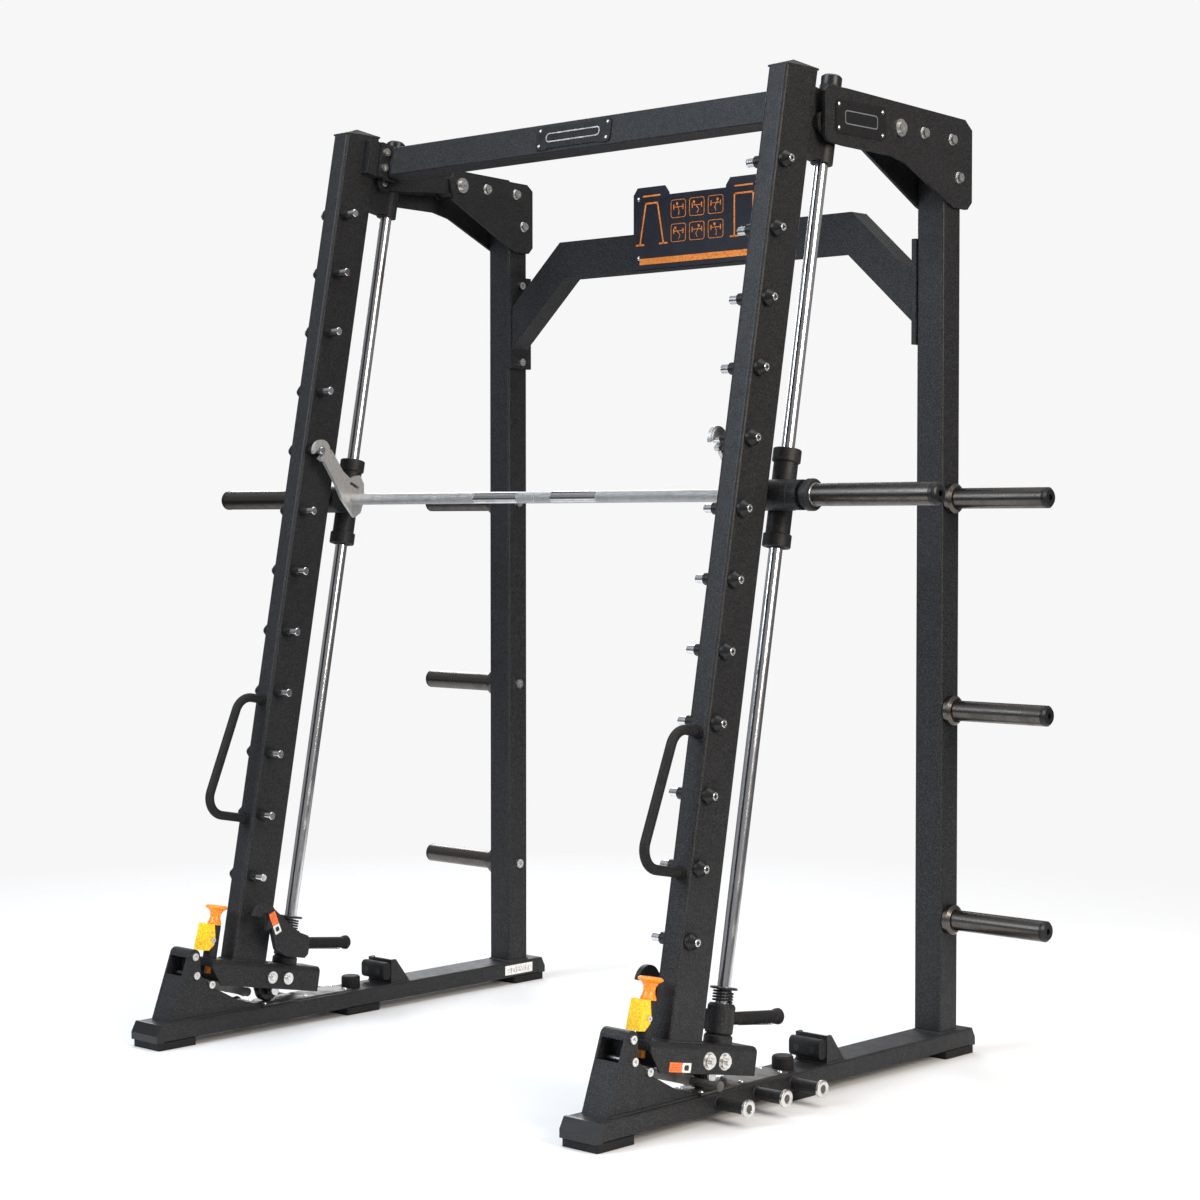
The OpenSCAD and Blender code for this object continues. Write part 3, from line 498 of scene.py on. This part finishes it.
class SMITH_OT_springs(bpy.types.Operator):
    """Coil springs with their washers on the safety stops"""
    bl_idname = "smith.springs"
    bl_label = "Springs"

    def execute(self, context):
        sizes = context.scene.smith_sizes
        lo, hi = leaning_box("stop_spring_right")
        x, depth = (lo.x + hi.x) / 2, (lo.y + hi.y) / 2
        wire, radius = sizes.spring_wire, sizes.spring_radius
        washer_height = 0.005
        rise = hi.z - lo.z - washer_height - 2 * wire
        for name, side in SIDES.items():
            bm, coil = bmesh.new(), bmesh.new()
            bmesh.ops.create_circle(coil, cap_ends=True, segments=10, radius=wire)
            bmesh.ops.transform(coil, matrix=move(radius, 0, 0) @ TO_FRONT, verts=coil.verts)
            steps = 28 * sizes.spring_turns
            made = bmesh.ops.spin(coil, geom=coil.faces[:], cent=(0, 0, 0), axis=(0, 0, 1),
                                  angle=2 * pi * sizes.spring_turns, steps=steps, dvec=(0, 0, rise / steps))
            if not made["geom_last"]:
                raise RuntimeError("the coil was not made")
            add(bm, coil, side @ LEAN @ move(x, depth, lo.z + wire))
            washer = [(0.0152, 0), (0.0152, washer_height), (0.0285, washer_height), (0.030, 0.0036),
                      (0.030, 0.0012), (0.029, 0)]
            add(bm, turned(washer, 48, True), side @ LEAN @ move(x, depth, hi.z - washer_height))
            piece = keep_piece(f"coil_spring_{name}", bm, "spring_black", f"stop_{name}_slide")
            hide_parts(f"stop_spring_{name}")
        return {"FINISHED"}


class SMITH_OT_welds(bpy.types.Operator):
    """Weld ripples where tubes and plates meet"""
    bl_idname = "smith.welds"
    bl_label = "Welds"

    def execute(self, context):
        front, base = bmesh.new(), bmesh.new()
        size = context.scene.smith_sizes.weld_size
        _, top = leaning_box("carriage_boxes")
        lo, hi = leaning_box("front_upright_right")
        ring = outline(lo, hi, top.z)
        r_lo, r_hi = right_box("rear_uprights")
        rear = outline(r_lo, r_hi, r_lo.z)
        n_lo, n_hi = right_box("nose_boxes")
        nose = [[(x, n_lo.y + 0.004, n_lo.z), (x, n_hi.y - 0.004, n_lo.z)] for x in (n_lo.x, n_hi.x)]
        b_lo, b_hi = right_box("bumper_brackets")
        bracket = [(b_lo.x, b_hi.y, b_lo.z), (b_lo.x, b_lo.y, b_lo.z), (b_hi.x, b_lo.y, b_lo.z),
                   (b_hi.x, b_hi.y, b_lo.z)]
        p_lo, p_hi = right_box("band_pegs")
        around = 0.0145
        for side in SIDES.values():
            bead_path(front, ring, size, side @ LEAN)
            bead_path(base, rear, size, side)
            bead_path(base, bracket, size * 0.8, side)
            for line in nose:
                bead_path(base, line, size * 0.8, side)
            for y in band_peg_places():
                circle = [(p_lo.x, y + around * cos(a), (p_lo.z + p_hi.z) / 2 + around * sin(a))
                          for a in [2 * pi * i / 10 for i in range(11)]]
                bead_path(base, circle, size * 0.8, side)
        keep_piece("front_welds", front, "weld_black", "front_frame", 80)
        keep_piece("base_welds", base, "weld_black", "base_frame", 80)
        return {"FINISHED"}


def band_peg_places():
    """Where the band pegs stand along a rail, from the node's own vertices."""
    groups = []
    for y in sorted(p.y for p in points_of("band_pegs", right=True)):
        if groups and y - groups[-1][-1] < 0.03:
            groups[-1].append(y)
        else:
            groups.append([y])
    return [(group[0] + group[-1]) / 2 for group in groups]


class SMITH_OT_band_peg_discs(bpy.types.Operator):
    """Silver end discs of the band pegs"""
    bl_idname = "smith.band_peg_discs"
    bl_label = "Band peg discs"

    def execute(self, context):
        discs, centres = bmesh.new(), bmesh.new()
        lo, hi = right_box("band_pegs")
        for side in SIDES.values():
            for y in band_peg_places():
                place = side @ move(hi.x, y, (lo.z + hi.z) / 2) @ ALONG_X
                add(discs, turned([(0.0085, -0.002), (0.0090, 0.0008), (0.0105, 0.0016), (0.0170, 0.0016),
                                   (0.0192, 0.0004), (0.0194, -0.0050), (0.0185, -0.0052)], 36, True), place)
                add(centres, turned([(0.0, 0.0003), (0.0088, 0.0006), (0.0088, -0.001), (0.0, -0.001)], 24),
                    place)
        keep_piece("band_peg_discs", discs, "zinc", "base_frame")
        keep_piece("band_peg_centres", centres, "gunmetal", "base_frame")
        return {"FINISHED"}


def figure(bm, x, z, lean, place):
    """A small exercise pictogram in a round-cornered tile: a head, a body, a bar and its plates."""
    at = place @ move(x, z, 0)
    add(bm, plate(0.050, 0.046, 0.007, PRINT_THICKNESS, 0.0014), at)
    add(bm, turned([(0, 0.0003), (0.0034, 0.0003), (0.0034, -0.0003), (0, -0.0003)], 16),
        at @ move(-0.010 * lean, 0.0125, 0))
    for a, b in (((-0.008 * lean, 0.007), (0.006 * lean, -0.006)), ((0.006 * lean, -0.006), (0.001, -0.0155)),
                 ((-0.0145, 0.0040), (0.0145, 0.0040))):
        add(bm, stroke(a, b, 0.0017, PRINT_THICKNESS), at)
    for end in (-0.0155, 0.0155):
        add(bm, stroke((end, -0.001), (end, 0.009), 0.0028, PRINT_THICKNESS), at)


class SMITH_OT_placard_print(bpy.types.Operator):
    """Line drawings and a stripe printed on the placard"""
    bl_idname = "smith.placard_print"
    bl_label = "Placard print"

    def execute(self, context):
        bm, rivets = bmesh.new(), bmesh.new()
        lo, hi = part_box("placard")
        w, h = hi.x - lo.x, hi.z - lo.z
        place = move(0, lo.y - 0.0001, lo.z) @ TO_FRONT
        line = 0.0045
        for x, splay in ((-0.355 * w, 1.0), (0.355 * w, 0.0)):
            half_low, half_top = 0.030 + 0.010 * splay, 0.030 - 0.010 * splay
            low, top = 0.30 * h, 0.80 * h
            corners = [(-half_low, low), (-half_top, top), (half_top, top), (half_low, low)]
            for a, b in zip(corners, corners[1:]):
                add(bm, stroke((x + a[0], a[1]), (x + b[0], b[1]), line, PRINT_THICKNESS), place)
            for foot in (x - half_low, x + half_low):
                add(bm, stroke((foot - 0.012, low), (foot + 0.012, low), line, PRINT_THICKNESS), place)
            add(bm, stroke((x - 0.028, 0.89 * h), (x + 0.028, 0.89 * h), 0.004, PRINT_THICKNESS), place)
        for row, z in enumerate((0.70, 0.41)):
            for column in (-1, 0, 1):
                figure(bm, column * 0.062, z * h, (0.4, 1.0, -0.6)[(column + 1 + row) % 3], place)
        add(bm, plate(w * 0.90, h * 0.075, 0.002, PRINT_THICKNESS), place @ move(0, 0.095 * h, 0))
        rivet = [(0, 0.0028), (0.0030, 0.0024), (0.0052, 0.0006), (0.0052, -0.001), (0, -0.001)]
        for x, z in CORNERS:
            add(rivets, turned(rivet, 20), place @ move(x * 0.46 * w, (0.50 + z * 0.36) * h, 0))
        keep_piece("placard_print", bm, "print_orange", "base_frame")
        keep_piece("placard_rivets", rivets, "zinc", "base_frame")
        return {"FINISHED"}


class SMITH_OT_badges(bpy.types.Operator):
    """Plain badges with rivets on the front beam and on the outer gussets"""
    bl_idname = "smith.badges"
    bl_label = "Badges"

    def execute(self, context):
        rims, rivets = bmesh.new(), bmesh.new()
        lo, hi = box_of(points_of("badge_plate", leaning=True))
        w, h = hi.x - lo.x, hi.z - lo.z
        place = LEAN @ move(0, lo.y, (lo.z + hi.z) / 2) @ TO_FRONT
        rivet = [(0, 0.0026), (0.0028, 0.0022), (0.0046, 0.0006), (0.0046, -0.001), (0, -0.001)]
        add(rims, plate(w * 0.72, h * 0.40, 0.010, 0.0012, 0.0030), place)
        for x, z in CORNERS:
            add(rivets, turned(rivet, 18), place @ move(x * (w / 2 - 0.012), z * (h / 2 - 0.010), 0))
        keep_piece("beam_badge_rim", rims, "zinc", "front_frame")
        keep_piece("beam_badge_rivets", rivets, "zinc", "front_frame")

        plates, rims, rivets = bmesh.new(), bmesh.new(), bmesh.new()
        lo, hi = right_box("gussets_outer")
        w, h, thickness = 0.182, 0.074, 0.0020
        centre = Vector((hi.x, lo.y + 0.128, hi.z - 0.064))
        for side in SIDES.values():
            place = side @ Matrix.Translation(centre) @ Matrix.Rotation(pi / 2, 4, "Z") @ TO_FRONT
            add(plates, plate(w, h, 0.010, thickness), place)
            add(rims, plate(w * 0.66, h * 0.42, 0.008, 0.0032, 0.0026), place)
            for x, z in CORNERS:
                add(rivets, turned(rivet, 18), place @ move(x * (w / 2 - 0.011), z * (h / 2 - 0.011), thickness))
        keep_piece("gusset_badges", plates, "black_plastic", "base_frame")
        keep_piece("gusset_badge_rims", rims, "zinc", "base_frame")
        keep_piece("gusset_badge_rivets", rivets, "zinc", "base_frame")
        return {"FINISHED"}


class SMITH_OT_labels(bpy.types.Operator):
    """Plain two-colour stickers on the boxes, the stop hooks and a rail"""
    bl_idname = "smith.labels"
    bl_label = "Labels"

    def execute(self, context):
        _, hi = leaning_box("carriage_boxes")
        lo_h, _ = leaning_box("stop_right")
        foil, mark = 0.0004, 0.0008
        outward = Matrix.Rotation(pi / 2, 4, "Z") @ TO_FRONT
        inward = Matrix.Rotation(-pi / 2, 4, "Z") @ TO_FRONT
        slant = Matrix.Rotation(radians(237.4), 4, "Z")
        box_place = LEAN @ move(hi.x, 0.024, 0.138) @ outward
        hook_place = LEAN @ move(lo_h.x, 0.066, 0.290) @ inward @ slant
        kinds = (("box", box_place, 0.070, 0.020, "front_frame"), ("hook", hook_place, 0.058, 0.020, None))
        for name, side in SIDES.items():
            for tag, place, w, h, body in kinds:
                orange, white, ink = bmesh.new(), bmesh.new(), bmesh.new()
                add(orange, plate(w * 0.56, h, 0.0012, foil), side @ place @ move(-w * 0.21, 0, 0))
                add(white, plate(w * 0.40, h, 0.0012, foil), side @ place @ move(w * 0.29, 0, 0))
                add(ink, plate(w * 0.20, h * 0.55, 0.0030, PRINT_THICKNESS), side @ place @ move(w * 0.29, 0, 0))
                for line in (-0.25, 0.0, 0.25):
                    add(ink, stroke((-w * 0.42, line * h), (-w * 0.05, line * h), 0.0010, mark), side @ place)
                body = body or f"stop_{name}_hook"
                keep_piece(f"{tag}_label_orange_{name}", orange, "label_orange", body)
                keep_piece(f"{tag}_label_white_{name}", white, "label_white", body)
                keep_piece(f"{tag}_label_marks_{name}", ink, "label_ink", body)
        # Bars of varied width on a white sticker, which say nothing
        bm, ink = bmesh.new(), bmesh.new()
        lo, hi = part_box("rail_left")
        place = move(hi.x, hi.y - 0.080, (lo.z + hi.z) / 2) @ outward
        add(bm, plate(0.105, 0.026, 0.002, foil), place)
        for i in range(14):
            x = -0.040 + i * 0.006
            add(ink, stroke((x, -0.006), (x, 0.004), 0.0012 + 0.0008 * (i % 3), mark), place)
        keep_piece("rail_sticker", bm, "label_white", "base_frame")
        keep_piece("rail_sticker_bars", ink, "label_ink", "base_frame")
        return {"FINISHED"}


class SMITH_OT_bar_fittings(bpy.types.Operator):
    """End plugs and rings of the plate sleeves, and the seals of the bar's carriages"""
    bl_idname = "smith.bar_fittings"
    bl_label = "Bar fittings"

    def execute(self, context):
        plugs, rings, seals = bmesh.new(), bmesh.new(), bmesh.new()
        lo, hi = right_box("bar_sleeves")
        y, z, r = (lo.y + hi.y) / 2, (lo.z + hi.z) / 2, (hi.z - lo.z) / 2
        c_lo, c_hi = leaning_box("bar_carriages")
        rod_lo, rod_hi = leaning_box("guide_rod_right")
        x, depth = (rod_lo.x + rod_hi.x) / 2, (rod_lo.y + rod_hi.y) / 2
        for side in SIDES.values():
            place = side @ move(hi.x, y, z) @ ALONG_X
            add(plugs, turned([(0.0082, 0.0008), (0.0160, 0.0010), (0.0205, -0.0016), (r + 0.0004, -0.0072),
                               (r + 0.0005, -0.0160), (r - 0.0010, -0.0164), (r - 0.0020, -0.0080),
                               (0.0160, -0.0010), (0.0082, -0.0010)], 40, True), place)
            place = side @ move(lo.x, y, z) @ ALONG_X
            add(rings, turned([(r - 0.001, 0.0002), (r + 0.0014, 0.0006), (r + 0.0018, 0.0020),
                               (r + 0.0014, 0.0036), (r - 0.001, 0.0040)], 40, True), place)
            for height, out in ((c_lo.z, -1), (c_hi.z, 1)):
                add(seals, turned([(0.0153, -0.0030), (0.0153, 0.0016), (0.0190, 0.0022), (0.0225, 0.0010),
                                   (0.0225, -0.0030)], 36, True),
                    side @ LEAN @ move(x, depth, height) @ Matrix.Diagonal((1, 1, out, 1)))
        keep_piece("sleeve_plugs", plugs, "black_plastic", "bar")
        keep_piece("sleeve_rings", rings, "zinc", "bar")
        keep_piece("carriage_seals", seals, "rubber", "bar_slide")
        return {"FINISHED"}


class SMITH_OT_washers(bpy.types.Operator):
    """Washers under the bolt heads of the gussets and the boxes"""
    bl_idname = "smith.washers"
    bl_label = "Washers"

    def execute(self, context):
        base, front = bmesh.new(), bmesh.new()
        _, g_hi = right_box("gussets_outer")
        i_lo, _ = right_box("gussets_inner")
        heads = bolt_centres("frame_bolts", g_hi.x)
        for side in SIDES.values():
            for y, z in heads:
                for x, flip in ((g_hi.x, 1), (i_lo.x, -1)):
                    place = side @ move(x, y, z) @ ALONG_X @ Matrix.Diagonal((1, 1, flip, 1))
                    add(base, turned([(0.0065, 0), (0.0065, 0.0016), (0.0128, 0.0016), (0.0136, 0.0008),
                                      (0.0136, 0)], 28, True), place)
            _, b_hi = leaning_box("carriage_boxes")
            for depth in (0.115, 0.166):
                place = side @ LEAN @ move(b_hi.x, depth, 0.154) @ ALONG_X
                add(front, turned([(0.0148, 0), (0.0148, 0.0022), (0.0182, 0.0022), (0.0192, 0.0010),
                                   (0.0192, 0)], 32, True), place)
        keep_piece("gusset_washers", base, "zinc", "base_frame")
        keep_piece("box_washers", front, "zinc", "front_frame")
        return {"FINISHED"}


def bolt_centres(name, x):
    """Centres in YZ of the bolt heads that start at a plane x, found from the node's own points."""
    found = []
    for point in points_of(name):
        if abs(point.x - x) < 1e-4:
            flat = Vector((point.y, point.z))
            for group in found:
                if (group[0] - flat).length < 0.03:
                    group.append(flat)
                    break
            else:
                found.append([flat])
    return [((min(p.x for p in g) + max(p.x for p in g)) / 2, (min(p.y for p in g) + max(p.y for p in g)) / 2)
            for g in found]


class SMITH_OT_rail_fittings(bpy.types.Operator):
    """Screws of the wear plates, and cups in the bumper blocks: rubber rims round dark discs painted as the shade
    inside them
    """
    bl_idname = "smith.rail_fittings"
    bl_label = "Rail fittings"

    def execute(self, context):
        screws, cups, rims = bmesh.new(), bmesh.new(), bmesh.new()
        lo, hi = right_box("wear_plates")
        b_lo, b_hi = right_box("bumper_blocks")
        for side in SIDES.values():
            for y in (lo.y + 0.014, (lo.y + hi.y) / 2, hi.y - 0.014):
                for x in (lo.x + 0.012, hi.x - 0.012):
                    add(screws, turned([(0, 0.0008), (0.0024, 0.0008), (0.0026, 0.0030), (0.0048, 0.0026),
                                        (0.0062, 0.0006), (0.0062, -0.001), (0, -0.001)], 24),
                        side @ move(x, y, hi.z))
            for x in (b_lo.x + 0.020, b_hi.x - 0.020):
                place = side @ move(x, b_lo.y, (b_lo.z + b_hi.z) / 2) @ TO_FRONT
                add(rims, turned([(0.0075, -0.002), (0.0080, 0.0008), (0.0100, 0.0012), (0.0122, 0.0004),
                                  (0.0125, -0.002)], 28, True), place)
                # Painted shade: a flat dark disc stands for the shaded inside of the cup
                add(cups, turned([(0, 0.0002), (0.0078, 0.0004), (0.0078, -0.001), (0, -0.001)], 24), place)
        keep_piece("wear_plate_screws", screws, "zinc", "base_frame")
        keep_piece("bumper_rims", rims, "rubber", "base_frame")
        keep_piece("bumper_cups", cups, "socket_dark", "base_frame")
        return {"FINISHED"}


class SMITH_OT_grip_ribs(bpy.types.Operator):
    """Raised ribs along the rubber grips of the stops"""
    bl_idname = "smith.grip_ribs"
    bl_label = "Grip ribs"

    def execute(self, context):
        count = context.scene.smith_sizes.grip_ribs
        points = points_of("stop_grip_right", leaning=True)
        lo, hi = box_of(points)
        near = [p for p in points if p.y < lo.y + 0.004]
        far = [p for p in points if p.y > hi.y - 0.004]
        a, b = sum(near, Vector()) / len(near), sum(far, Vector()) / len(far)
        turn = (b - a).normalized().to_track_quat("Z", "X").to_matrix().to_4x4()
        length = (b - a).length
        for name, side in SIDES.items():
            bm = bmesh.new()
            for i in range(count):
                h = 0.045 + i * (length - 0.075) / (count - 1)
                add(bm, turned([(0.0137, h - 0.0020), (0.0148, h - 0.0010), (0.0148, h + 0.0010),
                                (0.0137, h + 0.0020)], 28, True), side @ LEAN @ Matrix.Translation(a) @ turn)
            keep_piece(f"grip_ribs_{name}", bm, "rubber", f"stop_{name}_hook")
        return {"FINISHED"}


class SMITH_OT_stage(bpy.types.Operator):
    """A pale floor, soft lights and the camera"""
    bl_idname = "smith.stage"
    bl_label = "Stage"

    def execute(self, context):
        settings = context.scene.smith_stage
        scene = context.scene
        bm = bmesh.new()
        bmesh.ops.create_circle(bm, cap_ends=True, segments=96, radius=8)
        mesh = bpy.data.meshes.new("studio_floor")
        bm.to_mesh(mesh)
        bm.free()
        floor = bpy.data.objects.new("studio_floor", mesh)
        floor.data.transform(move(0, 0, CAD_BOX[0][2] - 0.0005))
        scene.collection.objects.link(floor)
        paint = bpy.data.materials.new("studio_floor")
        paint.use_nodes = True
        shader = paint.node_tree.nodes["Principled BSDF"]
        point = node(paint.node_tree, "TexCoord").outputs["Object"]
        tone = noise(paint.node_tree, point, 0.6)
        color = blend_colour(paint.node_tree, tone, (0.86, 0.86, 0.86, 1), (0.90, 0.90, 0.90, 1))
        paint.node_tree.links.new(color, shader.inputs["Base Color"])
        shader.inputs["Roughness"].default_value = 0.9
        away = node(paint.node_tree, "VectorMath", {0: point}, operation="LENGTH").outputs["Value"]
        paint.node_tree.links.new(mask(paint.node_tree, away, settings.floor_end, settings.floor_full),
                                  shader.inputs["Alpha"])
        mesh.materials.append(paint)

        world = bpy.data.worlds.new("studio")
        world.use_nodes = True
        tree = world.node_tree
        tree.nodes.clear()
        way = node(tree, "TexCoord").outputs["Generated"]
        high = node(tree, "SeparateXYZ", {0: way}).outputs["Z"]
        sky = node(tree, "ValToRGB", {0: mask(tree, high, -0.3, 1.0)})
        stops = sky.color_ramp.elements
        stops[0].position, stops[0].color = 0.0, (0.10, 0.10, 0.11, 1)
        stops[1].position, stops[1].color = 1.0, (1.0, 1.02, 1.06, 1)
        for place, tone in ((0.20, 0.20), (0.30, 0.55), (0.50, 0.35), (0.72, 0.80)):
            stop = sky.color_ramp.elements.new(place)
            stop.color = (tone, tone, tone * 1.04, 1)
        seen = node(tree, "LightPath").outputs["Is Camera Ray"]
        around = node(tree, "Background", {"Color": sky.outputs[0], "Strength": settings.sky})
        behind = node(tree, "Background", {"Color": (0.93, 0.93, 0.935, 1), "Strength": 1.0})
        both = node(tree, "MixShader", {0: seen, 1: around.outputs[0], 2: behind.outputs[0]})
        node(tree, "OutputWorld", {"Surface": both.outputs[0]})
        scene.world = world

        lights = (
            ("key", (-1.5, -6.0, 4.6), 3.5, settings.key, (0.80, 0.90, 1.0)),
            ("side", (6.5, -0.5, 3.2), 3.0, settings.side, (1.0, 0.90, 0.78)),
            ("top", (0.5, 0.5, 6.5), 5.0, settings.top, (1.0, 1.0, 1.0)),
            ("rear", (-5.0, 4.0, 3.5), 3.0, settings.rear, (0.95, 0.97, 1.0)),
        )
        aim = Vector((0, 0, 1.0))
        for name, place, size, power, color in lights:
            lamp = bpy.data.lights.new(name, "AREA")
            lamp.size, lamp.energy, lamp.color = size, power, color
            obj = bpy.data.objects.new(name, lamp)
            obj.location = place
            obj.rotation_euler = (aim - Vector(place)).to_track_quat("-Z", "Y").to_euler()
            scene.collection.objects.link(obj)

        camera = bpy.data.objects.new("camera", bpy.data.cameras.new("camera"))
        camera.location = settings.camera_place
        camera.rotation_euler = (pi / 2 + settings.camera_pitch, 0, settings.camera_yaw)
        camera.data.lens = settings.lens
        camera.data.sensor_width = 36
        camera.data.clip_end = 200
        scene.collection.objects.link(camera)
        scene.camera = camera
        scene.view_settings.view_transform = "Standard"
        return {"FINISHED"}


# ---- Settings ----

class SmithColors(bpy.types.PropertyGroup):
    powder: FloatVectorProperty(name="Powder coat", description="Base colour of the painted steel",
                                subtype="COLOR", default=(0.0085, 0.0088, 0.0098), min=0, max=1)
    knob: FloatVectorProperty(name="Knobs", description="Colour of the pull knobs",
                              subtype="COLOR", default=(0.85, 0.25, 0.02), min=0, max=1)
    latch: FloatVectorProperty(name="Latches", description="Colour of the latch plates",
                               subtype="COLOR", default=(0.85, 0.50, 0.01), min=0, max=1)


class SmithSizes(bpy.types.PropertyGroup):
    weld_size: FloatProperty(name="Weld", description="Radius of a weld ripple", default=0.0046, unit="LENGTH")
    spring_wire: FloatProperty(name="Spring wire", description="Radius of the springs' wire",
                               default=0.0024, unit="LENGTH")
    spring_radius: FloatProperty(name="Spring radius", description="Radius of the springs' turns",
                                 default=0.0205, unit="LENGTH")
    spring_turns: IntProperty(name="Spring turns", description="Turns of a spring", default=4, min=2, max=8)
    grip_ribs: IntProperty(name="Grip ribs", description="Ribs on a grip", default=12, min=2, max=30)


class SmithStage(bpy.types.PropertyGroup):
    camera_place: FloatVectorProperty(name="Camera", description="Where the camera stands",
                                      subtype="TRANSLATION", default=(4.1246, -4.2747, 1.2547))
    camera_yaw: FloatProperty(name="Yaw", description="Turn of the camera about the vertical",
                              subtype="ANGLE", default=radians(42.844))
    camera_pitch: FloatProperty(name="Pitch", description="Tilt of the camera",
                                subtype="ANGLE", default=radians(-1.746))
    lens: FloatProperty(name="Lens", description="Focal length of the camera in millimetres", default=74.98)
    floor_full: FloatProperty(name="Floor", description="Radius within which the floor is fully seen",
                              default=1.6, unit="LENGTH")
    floor_end: FloatProperty(name="Floor end", description="Radius at which the floor has faded out",
                             default=3.6, unit="LENGTH")
    sky: FloatProperty(name="Surroundings", description="Strength of the light all round", default=0.55)
    key: FloatProperty(name="Key light", description="Power of the light from the front left", default=380)
    side: FloatProperty(name="Side light", description="Power of the warm light from the right", default=330)
    top: FloatProperty(name="Top light", description="Power of the light overhead", default=160)
    rear: FloatProperty(name="Rear light", description="Power of the light behind", default=160)


OPERATORS = (
    SMITH_OT_finishes, SMITH_OT_peg_rings, SMITH_OT_springs, SMITH_OT_welds, SMITH_OT_band_peg_discs,
    SMITH_OT_placard_print, SMITH_OT_badges, SMITH_OT_labels, SMITH_OT_bar_fittings, SMITH_OT_washers,
    SMITH_OT_rail_fittings, SMITH_OT_grip_ribs, SMITH_OT_stage,
)
SETTINGS = {"smith_colors": SmithColors, "smith_sizes": SmithSizes, "smith_stage": SmithStage}


class SMITH_PT_panel(bpy.types.Panel):
    """Lists the settings and the pieces"""
    bl_idname = "SMITH_PT_panel"
    bl_label = "Smith Machine"
    bl_space_type = "VIEW_3D"
    bl_region_type = "UI"
    bl_category = "Smith Machine"

    def draw(self, context):
        for name, kind in SETTINGS.items():
            box = self.layout.box()
            for key in kind.__annotations__:
                box.prop(getattr(context.scene, name), key)
        for operator in OPERATORS:
            self.layout.operator(operator.bl_idname)


def register():
    for item in (*SETTINGS.values(), *OPERATORS, SMITH_PT_panel):
        bpy.utils.register_class(item)
    for name, kind in SETTINGS.items():
        setattr(bpy.types.Scene, name, PointerProperty(type=kind))


def unregister():
    for name in SETTINGS:
        delattr(bpy.types.Scene, name)
    for item in reversed((*SETTINGS.values(), *OPERATORS, SMITH_PT_panel)):
        bpy.utils.unregister_class(item)


def main():
    register()
    for operator in OPERATORS:
        group, name = operator.bl_idname.split(".")
        getattr(getattr(bpy.ops, group), name)()


if __name__ == "__main__":
    main()
